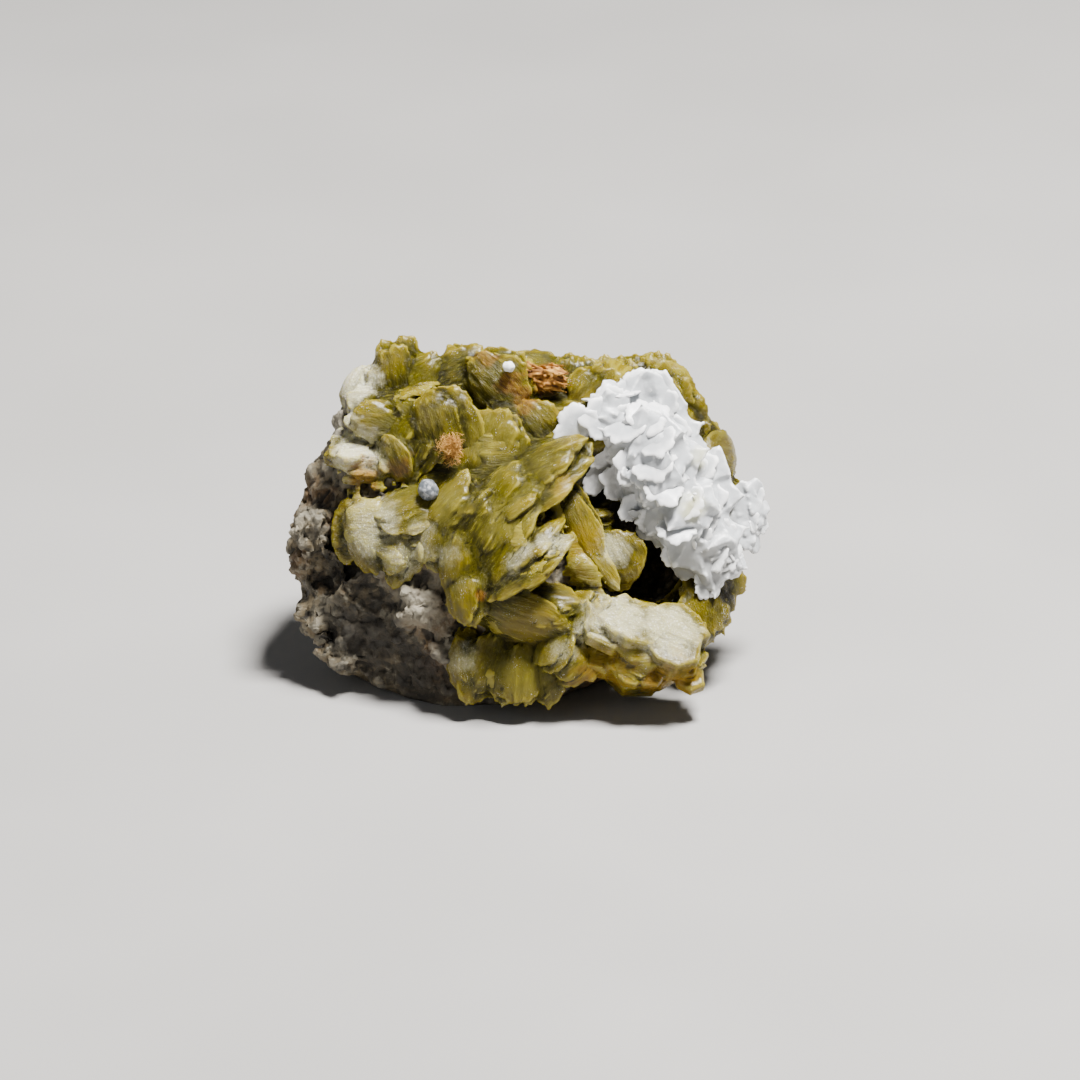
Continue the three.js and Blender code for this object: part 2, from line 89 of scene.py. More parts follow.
RIGHT_RIM = [
    [(10.4, 17, -2), 8.8, 6.4, 2.6, 88, -8],
    [(13.4, 17.4, -2.6), 8.8, 6, 2.6, 84, 8],
    [(16.4, 17.2, -3), 8.8, 6.4, 2.8, 82, -10],
    [(18.2, 15.8, -3.2), 9, 6.6, 2.8, 72, 10],
    [(19.4, 13.2, -3.6), 8.6, 7.2, 2.8, 60, 15],
    [(21.2, 10.6, -4), 9, 7.6, 2.8, 75, -20],
    [(23.4, 7.2, -4.2), 9.4, 8, 2.8, 60, 22],
    [(24.4, 3, -4.4), 9, 8, 2.8, 80, -20],
    [(24.4, -1.6, -4), 9, 8, 2.8, 95, -18],
    [(24, -6, -2.6), 9, 7.8, 3, 100, -25],
    [(23.2, -9.6, 0.6), 8.6, 7.4, 3, 110, -30],
]
LEFT_GROUP = [
    [(-21, 17.2, 0.4), 6.2, 3.8, 2.2, 58, 40],
    [(-18.8, 18.2, 0.6), 5.6, 3.6, 2.2, 40, 34],
    [(-18.8, 14.4, 2.6), 7.2, 6.4, 2.2, -10, 22],
    [(-18.4, 12.4, 4.2), 6.8, 6, 2.4, -14, -14],
    [(-15.2, 12, 4.6), 8.6, 7.2, 2.2, 52, 30],
    [(-12.8, 14, 4.2), 7.4, 6.4, 2.2, -22, 28],
    [(-21.2, 10.4, 2.6), 6.4, 4.6, 2.2, 25, 24],
    [(-15.8, 8.2, 5.4), 7.4, 5, 2.2, -58, -38],
    [(-12.6, 10.2, 5.2), 9.4, 7.4, 2.4, 68, 35],
    [(-9.2, 12.2, 6), 11, 9, 2.8, 100, 8],
    [(-14, 2, 7), 9.2, 7.4, 2.6, 20, 38],
    [(-18.4, -1.4, 4.4), 9.6, 6.4, 5, 112, 14],
    [(-14.8, -3.2, 6.4), 8.8, 6, 3.6, 70, 24],
]
SHELF = [
    [(-20.6, 7.6, 3.6), 9, 6.4, 5, 4, 46],
    [(-16.6, 6.2, 4.8), 5, 4, 3.6, -50, 20],
    [(-20, 6.3, 4.4), 7.4, 3.6, 3, 0, 40],
]
MIDDLE_BLADES = [
    [(-3.4, 10.2, 5.4), 9.4, 8.6, 3.4, 60, 16],
    [(-6.4, 8.6, 5.6), 8.4, 6, 3, 70, 24],
    [(1.6, 11.8, 4.6), 8.4, 7.2, 2.4, -52, -12],
    [(2.6, 6.2, 7.8), 15, 9.4, 4.2, 33, 46],
    [(-1.8, 3.6, 8.6), 12.4, 8.4, 4.2, 44, 50],
    [(-2.2, -1.4, 9.6), 14.6, 9, 4.6, 60, 54],
    [(-5.8, 0.4, 8.6), 12, 8, 4, 56, 52],
    [(-8.8, 2.4, 7.8), 10.6, 7.4, 3.4, 50, 48],
    [(0.6, -4.8, 11.4), 13.4, 8.6, 4.2, 39, 58],
    [(-10.4, -1.2, 8.6), 8.4, 5.6, 2.4, 74, 28],
    [(-7.6, -4.4, 10), 9.2, 5.6, 2.4, 80, 20],
    [(-6.8, -8.2, 10.6), 8.4, 5.4, 2.4, 95, 24],
]
LOWER_BLADES = [
    [(-0.4, -11.6, 9.2), 16, 7, 4, -20, -30],
    [(2.8, -9.8, 9.4), 8.4, 6.4, 2, -10, 42],
    [(-4.4, -17.4, 7.2), 9.6, 6.6, 2.4, 66, -14],
    [(-1.8, -17.8, 7.4), 9.2, 6.4, 2.4, 76, 12],
    [(0.6, -18, 7.6), 9, 6.4, 2.4, 86, -14],
    [(2.8, -17.8, 7.4), 8.4, 5.8, 2.2, 98, 12],
    [(-7, -17, 7), 9.2, 4.6, 2.6, 95, 10],
    [(7.4, -12, 9.6), 6.4, 4, 1.6, 75, 50],
    [(9.6, -12.2, 9.2), 6.4, 4.4, 1.6, 95, -50],
    [(4.4, -14.8, 9.4), 7, 5.4, 2.4, 65, 38],
    [(6.6, -17, 8.4), 7, 6, 2.8, 45, 10],
]
LEDGE = [
    [(14.6, -13, 7.4), 17, 13, 5, -22, 42],
    [(13.2, -15.6, 4.2), 19, 11, 9, -12, 20],
    [(13.6, -17.6, 8.8), 9.4, 6.6, 3.6, -4, 20],
    [(20, -16.8, 6.8), 8.4, 7.4, 4.2, -20, 30],
    [(8.2, -9.4, 8.2), 7.4, 6.4, 2.6, 18, 48],
]
CAVITY_CRYSTALS = [
    [(8.8, 0.9, 4.4), 5.8, 5, 1.8, 0, 72],
    [(8.8, -0.4, 4.4), 5.8, 5, 1.6, 4, 76],
    [(11.2, -4.2, 5), 8.2, 7.4, 2, -60, -6],
    [(6.2, 0.2, 6.8), 13.5, 5.6, 2.6, -60, -16],
    [(9.6, -5.2, 7.4), 8.4, 3, 1.8, -54, -12],
]
# Crystals that cover the back, the top and the right side: how many are tried, the place that
# they look away from and how far out they are sought, how far they come to the front, the
# lowest one, their length, how far they tip, and how deep their middle lies
SPREAD_COUNT = 330
SPREAD_CENTRE = (2, 0, -4)
SPREAD_REACH = 0.08
SPREAD_FRONT = 0.2
SPREAD_LOWEST = 0.008
SPREAD_LENGTH = (5.5, 9.0)
SPREAD_TIP = 42
SPREAD_DEPTH = 0.0012

# The outline crystals of the dolomite: [across, rise, toward], size, turn, lean
DOLOMITE_OUTLINE = [
    [(6.4, 12.6, 7), 5.8, 40, -14],
    [(9.4, 13.4, 6.6), 5.6, 100, -24],
    [(10.8, 14.4, 5.4), 6.4, 62, -18],
    [(14, 17.6, 3.4), 5, 20, 8],
    [(16.6, 17.2, 3), 5.2, 65, 5],
    [(17, 15.2, 3.4), 4.8, 35, 12],
    [(18.4, 11.6, 3.2), 5, 75, 18],
    [(21.4, 7.4, 2.8), 5.6, 20, 25],
    [(23, 3.4, 2.6), 5.2, 50, 25],
    [(24.6, -1.2, 2.2), 4.4, 70, 20],
    [(25.4, -5, 2), 4.4, 30, 0],
    [(23.4, -6.8, 2.6), 5, 60, -20],
    [(19.6, -3, 3.8), 5.4, 25, -25],
    [(17, 1, 4.6), 6, 10, -28],
    [(13.6, 2.4, 4.6), 4.4, 60, -30],
    [(11.6, 5.6, 4), 5, 80, -35],
    [(10.2, 9.6, 4.8), 5.4, 50, -30],
    [(9, 5.8, 4), 4.2, 60, -20],
    [(13.2, 7.6, 6.6), 5.4, 80, -34],
    [(16.2, 7.6, 7.4), 5.6, 15, 38],
    [(17.4, 4.4, 7.4), 5.2, -20, 34],
    [(20, 2.8, 6.2), 5.2, 40, 32],
    [(19, -0.4, 6.2), 5, -10, 36],
    [(12.6, 12.4, 7), 5.6, 20, 36],
    [(15.4, 13.6, 6.6), 5.6, -15, 30],
    [(16.4, 10.6, 7.2), 5.4, 30, 40],
]
# Centre line and half width of the dolomite bands: [across, rise, toward], half width
DOLOMITE_BAND = [
    [(9, 12.6, 3.6), 3.2],
    [(13.2, 12.8, 3.2), 3.8],
    [(15.8, 9.2, 2.9), 4.6],
    [(18.3, 4.4, 2.6), 4.6],
    [(21.8, -0.8, 1.6), 3.2],
    [(24.4, -5, 1), 2],
]
SIDE_BAND = [
    [(27.6, 5, -4.6), 1.3],
    [(28, 1.6, -4.4), 1.8],
    [(27.6, -2, -4.2), 1.3],
]

# Coloured areas on the face: centre, radius, strength
# Pale, sugary areas. The four rows along the middle blade (toward 13) and the last two rows
# brighten where glints fall: painted highlight
PALE_AREAS = [
    [(-19.2, 0, 7), 5.4, 0.6],
    [(-14.5, -4.5, 9.5), 5, 0.5],
    [(12, -11, 10.5), 5.6, 0.8],
    [(18, -13, 9.5), 5.6, 0.8],
    [(4.6, -1.8, 13), 2, 0.55],
    [(2.8, -2.4, 13), 2, 0.5],
    [(0.8, -3.4, 13), 1.8, 0.5],
    [(-1.2, -4.6, 13), 1.8, 0.4],
    [(10.4, -2.8, 6.4), 3.2, 0.7],
    [(-20.8, 8.4, 5.2), 4.6, 0.9],
    [(-20.8, 18.4, 1), 4.6, 1],
    [(-22.6, 13, 2), 4.4, 1],
    [(7.6, -13.2, 10), 2.4, 0.7],
    [(4.8, -15.6, 10), 2.4, 0.4],
    [(-7.6, -16.8, 8), 2.6, 0.4],
    [(-12.8, -1, 9), 2.6, 0.35],
    [(-9.6, -4, 10), 2.2, 0.3],
]
# Whiter top-left lumps: their own chalky white, lightened further as painted light on faces turned
# from the lamp
WHITE_AREAS = [
    [(-21, 18.4, 1), 4.6, 0.4],
    [(-22.6, 13, 2), 4.4, 0.5],
    [(-21.4, 8.8, 5.2), 3.6, 0.4],
]
OLIVE_AREAS = [
    [(-1.5, 0.5, 11), 4.6, 0.4],
    [(-4.2, 10.6, 8), 4.6, 0.35],
    [(3, 6.6, 10.5), 4, 0.12],
    [(-9.5, 2.6, 9), 3.4, 0.4],
    [(0, -18.5, 9), 5, 0.35],
]
RUSTY_AREAS = [
    [(-4.6, 20.4, 4), 2.2, 0.7],
    [(-2.2, 18.2, 5), 2.2, 0.8],
    [(0.2, 15.8, 6), 2.2, 0.8],
    [(2.2, 19.6, 3.2), 3.8, 0.85],
    [(-20, 6.2, 6), 2.8, 0.7],
    [(-15.4, 7, 7.4), 2.2, 0.6],
    [(-8.9, 9, 8), 1.8, 0.6],
    [(-5.4, -8.8, 12), 0.9, 0.9],
    [(17.5, -20, 8), 4.6, 0.5],
    [(9, -20.5, 7), 5, 0.4],
]
# Painted shadow: areas darkened where shade falls in the cavity, under the dolomite and along the
# right side
SHADOW_AREAS = [
    [(13.5, -1.5, 1), 6.5, 0.9],
    [(11, 3.6, 4), 5, 0.9],
    [(4.6, 15.5, 2), 3, 0.6],
    [(23.5, 8, -2), 7, 0.5],
    [(22.6, 13.4, -2), 4, 0.5],
    [(24, -8, 0), 5, 0.6],
]
# Amber patches: the crystals' own amber, brightened as painted glow where light shines through thin
# crystal
AMBER_GLOW_AREAS = [
    [(10.5, -18, 8), 5.5, 0.8],
    [(18.5, -18.6, 7.5), 5, 0.9],
    [(-20, 5.8, 6), 2.6, 0.8],
    [(5.4, 4.8, 10.5), 2.6, 0.6],
    [(7.4, -2.4, 8), 3.6, 0.5],
    [(4.6, -7.2, 12), 3, 0.6],
    [(0.4, -12.2, 11), 4.4, 0.25],
]

# Areas on the rock
ROCK_PALE = [
    [(-22, 17, 0), 6, 1],
    [(-24, 10, 1), 5.5, 1],
    [(-13.4, -10, 9), 6, 0.85],
    [(-9.4, -14.6, 8), 3.6, 0.8],
    [(-28, 1, 0), 4, 0.7],
    [(-25, -11, 2), 3, 0.6],
    [(-15, -14, 7), 3, 0.5],
]
# Painted shadow: the cavity and the shaded lower left of the rock
ROCK_SHADOW = [
    [(10.6, 4, 0), 9, 1],
    [(14, -3, 0), 9, 1],
    [(-21.5, -3, 5), 6, 0.8],
    [(-20, -14, 4), 8, 0.85],
    [(-14, -20, 5), 8, 0.85],
    [(-6, -20, 6), 8, 0.6],
]

# Areas on the dolomite: yellow stains, and grey areas that are painted shade where shadow falls
DOLOMITE_YELLOW = [[(21.4, 2.4, 7.4), 2.6, 0.7], [(22.2, 8.4, 5.0), 2.2, 0.5]]
DOLOMITE_SHADOW = [
    [(10, 5.4, 6), 4, 0.9],
    [(22, -6, 3), 7, 0.7],
    [(16, 0.5, 5), 4, 0.6],
]

# How ragged the edges of the areas are
EVEN, RAGGED, STAINED = 1.0, 1.4, 2.4

# Where the cavity reaches up under the dolomite, the radius of the hollow that is pressed in
# there, and its depth in the siderite and in the rock, in millimetres
CAVITY_TOP = (10.6, 4.0, 4.0)
CAVITY_RADIUS = 6.5
SIDERITE_SINK, ROCK_SINK = 6.0, 5.0

# Size of the faces of a fused skin, in metres
CRUST_VOXEL, FACE_VOXEL = 0.00038, 0.00022
ROCK_VOXEL, SPLINTER_VOXEL = 0.00034, 0.00011

# Softened cores: size of their faces, how far they shrink, height and size of their bumps
CORES = {
    "siderite_crystals": (0.00045, 0.0004, 0.0006, 0.0025),
    "dolomite_cluster": (0.0004, 0.0006, 0.0008, 0.0020),
    "dolomite_side_cluster": (0.0004, 0.0006, 0.0008, 0.0020),
    "limonite_tuft": (0.00022, 0.0008, 0.0005, 0.0006),
    "limonite_crust": (0.00025, 0.0003, 0.0008, 0.0012),
}

# Rounds of smoothing and depth that edges and hollows are measured with
FACE_RELIEF, ROCK_RELIEF = (5, 0.00007), (12, 0.0004)
GRAIN_RELIEF, PETAL_RELIEF = (8, 0.00014), (4, 0.00012)
FACE_HOLLOW, ROCK_HOLLOW = (60, 0.0007), (60, 0.0010)
PETAL_DEPTH = 0.0045

# How far the valleys between crystals fill: rounds of smoothing and share
VALLEYS = (24, 0.6)

# Ribs along a crystal: how close they are along its three axes, and their height
RIB_SCALE = (0.25, 1.5, 2.6)
RIBS, FAINT_RIBS = 0.00015, 0.00007

# A thicker lens splits into three leaves, a thinner one into two
THICK_LENS = 1.9
# How far leaves, small crystals and plates turn, in degrees, about the crystal's normal, its
# length and its width, their size as a share of the crystal's, and their cup, saddle and twist
LEAF_TURNS, OFFSHOOT_TURNS, PLATE_TURNS = (7, 3, 5), (35, 16, 12), (12, 6, 6)
OFFSHOOT_SHARE, PLATE_SHARE = (0.3, 0.5), (0.36, 0.5)
LEAF_BEND, OFFSHOOT_BEND = (0.2, 0.2, 0.25), (0.1, 0.1, 0.1)

# Plates in each slab of the shelf and of the ledge
SHELF_PLATES = (9, 5, 6)
LEDGE_PLATES = (18, 14, 7, 7, 5)

# Petals on a band: their spacing and number across it, sizes, thickness as a share of the
# size, and tilt
CLUSTER_MASS, CLUSTER_PETALS = (3.0, 4, (4.6, 6.4), 0.15, 38), (2.8, 5, (3.8, 5.4), 0.12, 46)
SIDE_MASS, SIDE_PETALS = (1.8, 4, (2.8, 3.8), 0.3, 30), (3.4, 3, (2.8, 3.6), 0.13, 32)
OUTLINE_THICKNESS = 0.1
# How high the ridge of a band stands as a share of its half width, and how far petals look
# toward the viewer
RIDGE_HEIGHT, RIDGE_LOOK = 0.75, 0.6
# Each dolomite piece: node, seed, size of faces, band, petals of its mass and of its skin, and
# petals of its outline
CLUSTER = ("dolomite_cluster", 5, 0.00021, DOLOMITE_BAND, CLUSTER_MASS, CLUSTER_PETALS)
SIDE_CLUSTER = ("dolomite_side_cluster", 17, 0.00016, SIDE_BAND, SIDE_MASS, SIDE_PETALS)
DOLOMITE_PIECES = {
    "dolomite_crystals": (*CLUSTER, DOLOMITE_OUTLINE),
    "dolomite_side_crystals": (*SIDE_CLUSTER, []),
}

# Seeds of the random draws
CRUST_SEED, TOP_LEFT_SEED, BLADES_SEED, RIM_SEED = 11, 21, 22, 23
TUFT_SEED, SPLINTER_SEED = 23, 29

# Fibres of the tuft and splinters of the crust: their number, and their length, width and
# thickness in millimetres
TUFT_FIBRES = 700
FIBRE_LENGTH, FIBRE_WIDTH = (0.4, 1.1), (0.05, 0.09)
CRUST_SPLINTERS = 240
SPLINTER_LENGTH, SPLINTER_WIDTH, SPLINTER_THICKNESS = (1.2, 3.0), (0.3, 0.7), (0.15, 0.3)

# Small grains: node, piece, slot, the angle that stays sharp, and size and height of the faces
RHOMB = ("dolomite_grain", "dolomite_rhomb", "dolomite", 40, 0.0006, 0.0002)
QUARTZ = ("quartz_grain", "quartz", "quartz", 60, 0.0014, 0.0003)

# How far a crystal may stand out of the specimen's box
BOX_MARGIN = 0.0004

# How unevenly a crystal swells round its edge
SWELL = 0.05

# A crystal claims points up to this far from its surface, and up to this share of its length
# from its middle. The others have the plain tone.
OWN_REACH, OWN_SHARE = 0.003, 0.6
PLAIN_TONE = 0.4
# Own places are stored in centimetres
OWN_SCALE = 10


def on_face(place):
    across, rise, toward = place
    return FACE_MIDDLE + (ACROSS * across + RISE * rise + TOWARD * toward) * MM


def turned(axis, degrees):
    return Matrix.Rotation(math.radians(degrees), 4, axis)


def face_matrix(place, turn, lean):
    """Sets a flat shape on the face: its length runs at `turn` from the right, and `lean`
    tips its front towards its upper long edge."""
    at = Matrix.Translation(on_face(place))
    return at @ FACE_BASIS @ turned("Z", turn) @ turned("X", -lean)


def standing(way):
    """The turn that points a shape's normal along a direction."""
    return UP.rotation_difference(way).to_matrix().to_4x4()


def nudged(at, turn, tip, roll):
    """A step in millimetres, and turns about a crystal's normal, length and width."""
    step = Matrix.Translation(Vector(at) * MM)
    return step @ turned("Z", turn) @ turned("X", tip) @ turned("Y", roll)


def jitter(rng, *limits):
    return [rng.uniform(-limit, limit) for limit in limits]


# Selecting and finishing meshes
def select_only(piece=None):
    for other in bpy.context.selected_objects:
        other.select_set(False)
    bpy.context.view_layer.objects.active = piece
    if piece:
        piece.select_set(True)


def edit(piece):
    select_only(piece)
    bpy.ops.object.mode_set(mode="EDIT")


def leave_edit():
    bpy.ops.object.mode_set(mode="OBJECT")


def edit_faces(piece, wanted):
    """Opens a piece with only the wanted faces selected."""
    edit(piece)
    bpy.ops.mesh.select_mode(type="FACE")
    bpy.ops.mesh.select_all(action="DESELECT")
    leave_edit()
    for face in piece.data.polygons:
        face.select = wanted(face)
    edit(piece)


def apply_modifier(piece, kind, **settings):
    select_only(piece)
    modifier = piece.modifiers.new(kind.lower(), kind)
    for name, value in settings.items():
        setattr(modifier, name, value)
    bpy.ops.object.modifier_apply(modifier=modifier.name)


def vertex_values(mesh, name):
    values = np.empty(len(mesh.vertices) * 3, np.float32)
    mesh.vertices.foreach_get(name, values)
    return values.reshape(-1, 3).astype(float)


def positions(mesh):
    return vertex_values(mesh, "co")


def set_positions(mesh, values):
    mesh.vertices.foreach_set("co", values.astype(np.float32).ravel())
    mesh.update()


def lift_points(mesh, lift):
    """Moves each point along its normal."""
    set_positions(mesh, positions(mesh) + vertex_values(mesh, "normal") * lift[:, None])


def new_piece(name, mesh):
    piece = bpy.data.objects.new(name, mesh)
    bpy.context.scene.collection.objects.link(piece)
    return piece


def copy_of_node(node, name):
    """A merged copy of a CAD node's mesh, to be worked into the visible piece."""
    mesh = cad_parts[node].data.copy()
    mesh.materials.clear()
    piece = new_piece(name, mesh)
    edit(piece)
    bpy.ops.mesh.select_all(action="SELECT")
    bpy.ops.mesh.remove_doubles(threshold=1e-6)
    leave_edit()
    return piece


def join(pieces):
    """Joins pieces into the first of them."""
    select_only(pieces[0])
    for piece in pieces[1:]:
        piece.select_set(True)
    bpy.ops.object.join()
    return bpy.context.object


def remesh(piece, voxel, rounds):
    """One skin of even faces, smoothed a little."""
    apply_modifier(piece, "REMESH", mode="VOXEL", voxel_size=voxel)
    apply_modifier(piece, "SMOOTH", factor=0.5, iterations=rounds)


def fuse(name, pieces, voxel, rounds):
    """Joins overlapping solids into one skin."""
    whole = join(pieces)
    whole.name = name
    remesh(whole, voxel, rounds)
    return whole


def displace(piece, kind, size, strength, middle=0.5, group="", **settings):
    """Moves a surface in and out by a procedural texture with its own settings."""
    texture = bpy.data.textures.new(piece.name + "_texture", kind)
    texture.noise_scale = size
    for name, value in settings.items():
        setattr(texture, name, value)
    apply_modifier(
        piece,
        "DISPLACE",
        texture=texture,
        texture_coords="LOCAL",
        strength=strength,
        mid_level=middle,
        vertex_group=group,
    )


def tree_of(mesh):
    points = [v.co for v in mesh.vertices]
    return BVHTree.FromPolygons(points, [tuple(face.vertices) for face in mesh.polygons])


def finish_piece(piece, material, node, sharp=None):
    """Gives a piece its material, its shading and its place in the frame."""
    piece.data.materials.clear()
    piece.data.materials.append(material)
    select_only(piece)
    if sharp is None:
        bpy.ops.object.shade_smooth()
    else:
        bpy.ops.object.shade_smooth_by_angle(angle=math.radians(sharp))
    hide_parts(node)
    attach(piece, "root")


# Lenses and plates, the masters that crystals are copied from. Each of their two sides climbs
# in steps of radius and height.
LENS_POWER = 0.8


def lens_steps(*radii):
    return [(radius, (1 - radius**2) ** LENS_POWER) for radius in radii]


LENS_STEPS = lens_steps(0.97, 0.9, 0.79, 0.64, 0.46, 0.26, 0.08)
SMALL_STEPS = lens_steps(0.95, 0.8, 0.55, 0.25)
PLATE_STEPS = [(0.98, 0.85), (0.9, 1.0), (0.3, 1.04)]
PETAL_STEPS = [(0.96, 0.5), (0.82, 0.8), (0.5, 1.0), (0.12, 1.1)]
# Number, sides, steps, edge, lobes, notches, teeth, drift and point
MASTERS = {
    "lens": (8, 56, LENS_STEPS, 0.05, 0.05, 0.04, 0.04, 0.16, 0.1),
    "pointed_lens": (6, 56, LENS_STEPS, 0.05, 0.07, 0.05, 0.06, 0.16, 0.3),
    "jagged_lens": (4, 40, LENS_STEPS, 0.05, 0.06, 0.06, 0.10, 0.16, 0.2),
    "small_lens": (6, 24, SMALL_STEPS, 0.06, 0.05, 0.03, 0.05, 0.16, 0.3),
    "plate": (6, 7, PLATE_STEPS, 0.6, 0.0, 0.0, 0.3, 0.05, 0),
    "petal": (8, 48, PETAL_STEPS, 0.12, 0.13, 0.08, 0.06, 0.1, 0),
}
FIRST_MASTER_SEED = 40


def stepped_disc(name, sides, steps, edge):
    """A closed disc of radius 1 and half thickness 1, whose two sides climb in rings."""
    select_only()
    bpy.ops.mesh.primitive_cylinder_add(vertices=sides, radius=1, depth=2 * edge)
    disc = bpy.context.object
    disc.name = name
    for way in (1, -1):
        edit_faces(disc, lambda face: face.normal.z * way > 0.9)
        radius, height = 1, edge
        for next_radius, next_height in steps:
            climb = way * (next_height - height)
            bpy.ops.mesh.extrude_region_move(TRANSFORM_OT_translate={"value": (0, 0, climb)})
            shrink = next_radius / radius
            bpy.ops.transform.resize(value=(shrink, shrink, 1))
            radius, height = next_radius, next_height
        leave_edit()
    return disc


def wave(angle, rng, low, high, strength):
    """An uneven line round a disc, from waves that have a random phase and size."""
    total = np.zeros_like(angle)
    for count in range(low, high + 1):
        total += rng.uniform(0.3, 1) * np.cos(count * angle + rng.uniform(0, 2 * math.pi))
    return total * strength / math.sqrt(high - low + 1)


def roughen_disc(disc, seed, sides, lobes, notches, teeth, drift, point):
    """Gives a disc an outline with lobes, notches and teeth, two more or less pointed ends,
    and rings that shift to one side, as growth does."""
    rng = random.Random(seed)
    co = positions(disc.data)
    angle = np.arctan2(co[:, 1], co[:, 0])
    radius = np.hypot(co[:, 0], co[:, 1])
    spoke = np.round(angle / (2 * math.pi) * sides).astype(int) % sides
    tooth = np.array([rng.uniform(-1, 1) for _ in range(sides)])
    way = rng.uniform(0, 2 * math.pi)
    scale = 1 + wave(angle, rng, 2, 5, lobes) + wave(angle, rng, 6, 11, notches) * radius**2
    scale += teeth * tooth[spoke] * radius**4
    for level in np.unique(np.round(co[:, 2], 4)):
        ring = np.abs(co[:, 2] - level) < 1e-3
        scale[ring] += wave(angle[ring], rng, 3, 9, 0.03) * (0.4 + radius[ring] * 0.6)
    co[:, 1] *= (1.02 - np.minimum(1, np.abs(co[:, 0])) ** 2) ** point
    co[:, 0] *= scale
    co[:, 1] *= scale
    co[:, 0] += drift * (1 - radius) * math.cos(way)
    co[:, 1] += drift * (1 - radius) * math.sin(way)
    set_positions(disc.data, co)


def disc_masters(kind):
    count, sides, steps, edge, *shape = MASTERS[kind]
    masters = []
    for i in range(count):
        disc = stepped_disc(f"{kind}_{i}", sides, steps, edge)
        roughen_disc(disc, FIRST_MASTER_SEED + i, sides, *shape)
        masters.append(disc)
    return masters


def remove_masters(masters):
    for master in masters:
        bpy.data.objects.remove(master)


def disc_copy(master, size, matrix, rng, bend):
    """A copy of a master at its size and place, swollen unevenly and bent."""
    mesh = master.data.copy()
    unit = positions(mesh)
    swell = 1 + wave(np.arctan2(unit[:, 1], unit[:, 0]), rng, 2, 4, SWELL)
    co = unit * np.array(size) / 2
    co[:, :2] *= swell[:, None]
    x, y = unit[:, 0], unit[:, 1]
    cup, saddle, twist = bend
    co[:, 2] += cup * (x**2 + y**2) + saddle * (x**2 - y**2) + twist * x * y
    set_positions(mesh, co * MM)
    mesh.transform(matrix)
    return new_piece(master.name + "_copy", mesh)


def keep_inside(piece):
    """Moves a piece back into the specimen's box, if it stands out of it."""
    low, high = cad_box
    co = positions(piece.data)
    shift = Vector()
    for axis in range(3):
        over = co[:, axis].max() - high[axis] - BOX_MARGIN
        under = low[axis] - BOX_MARGIN - co[:, axis].min()
        shift[axis] = -max(0, over) + max(0, under)
    piece.data.transform(Matrix.Translation(shift))
    return shift


class Crystals:
    """Overlapping crystals that are to be fused, with the frame and size of each."""

    def __init__(self):
        self.pieces = []
        self.frames = []

    def add(self, master, size, matrix, rng, tone, bend=(0, 0, 0)):
        piece = disc_copy(master, size, matrix, rng, bend)
        shift = keep_inside(piece)
        self.pieces.append(piece)
        self.frames.append((Matrix.Translation(shift) @ matrix, size, tone))


def own_places(co, frames):
    """For each point, its place in the crystal whose surface it lies on, in millimetres,
    and that crystal's tone. A point on none keeps its place in the specimen."""
    own = co / MM
    tones = np.full(len(co), PLAIN_TONE)
    nearest = np.full(len(co), OWN_REACH)
    for matrix, size, tone in frames:
        centre = np.array(matrix.translation)
        close = np.flatnonzero(((co - centre) ** 2).sum(1) < (OWN_SHARE * size[0] * MM) ** 2)
        inverse = np.array(matrix.inverted())
        local = (co[close] @ inverse[:3, :3].T + inverse[:3, 3]) / MM
        share = local / (np.array(size) / 2)
        ring = np.hypot(share[:, 0], share[:, 1])
        height = np.maximum(0, 1 - ring**2) ** LENS_POWER
        gap = np.abs(np.abs(share[:, 2]) - height) * size[2] / 2
        gap = (gap + np.maximum(0, ring - 1) * size[0] / 2) * MM
        better = gap < nearest[close]
        chosen = close[better]
        nearest[chosen] = gap[better]
        own[chosen] = local[better]
        tones[chosen] = tone
    return own, tones


def mark_own(piece, own, tones):
    layer = piece.data.attributes.new("own", "FLOAT_COLOR", "POINT")
    values = np.column_stack([own / OWN_SCALE, np.broadcast_to(tones, len(own))])
    layer.data.foreach_set("color", values.astype(np.float32).ravel())


def ripple(piece, own, depth):
    """Raises fine ribs that run along each crystal."""
    lift = np.array([noise.noise(Vector(point)) for point in own * np.array(RIB_SCALE)])
    lift_points(piece.data, lift * depth)


def heights(mesh, rounds):
    """How far each point stands out over the mean of the surface around it."""
    co = positions(mesh)
    ends = np.empty(len(mesh.edges) * 2, np.int32)
    mesh.edges.foreach_get("vertices", ends)
    first, second = ends.reshape(-1, 2).T
    number = np.maximum(1, np.bincount(ends, minlength=len(co)))
    smooth = co
    for _ in range(rounds):
        total = np.empty_like(smooth)
        for axis in range(3):
            values = smooth[:, axis]
            total[:, axis] = np.bincount(first, values[second], len(co))
            total[:, axis] += np.bincount(second, values[first], len(co))
        smooth = total / number[:, None]
    return ((co - smooth) * vertex_values(mesh, "normal")).sum(1)


def fill_valleys(piece, rounds, share):
    """Lets crystals grow together: a hollow moves out towards the surface around it."""
    lift_points(piece.data, np.maximum(0, -heights(piece.data, rounds)) * share)


def store(piece, name, values):
    layer = piece.data.attributes.new(name, "FLOAT", "POINT")
    layer.data.foreach_set("value", np.clip(values, 0, 1).astype(np.float32))


def store_relief(piece, **layers):
    """Marks hollows with 0, even places with 0.5 and edges with 1, fine or broad ones."""
    for name, (rounds, depth) in layers.items():
        store(piece, name, heights(piece.data, rounds) / depth * 0.5 + 0.5)


def shrunken_core(node, name):
    """A softened, slightly shrunken copy of a CAD node, which fills the space between
    the crystals."""
    voxel, shrink, bumps, bump_size = CORES[node]
    core = copy_of_node(node, name)
    remesh(core, voxel, 3)
    apply_modifier(core, "DISPLACE", strength=-shrink, mid_level=0)
    displace(core, "CLOUDS", bump_size, bumps, noise_depth=3)
    return core


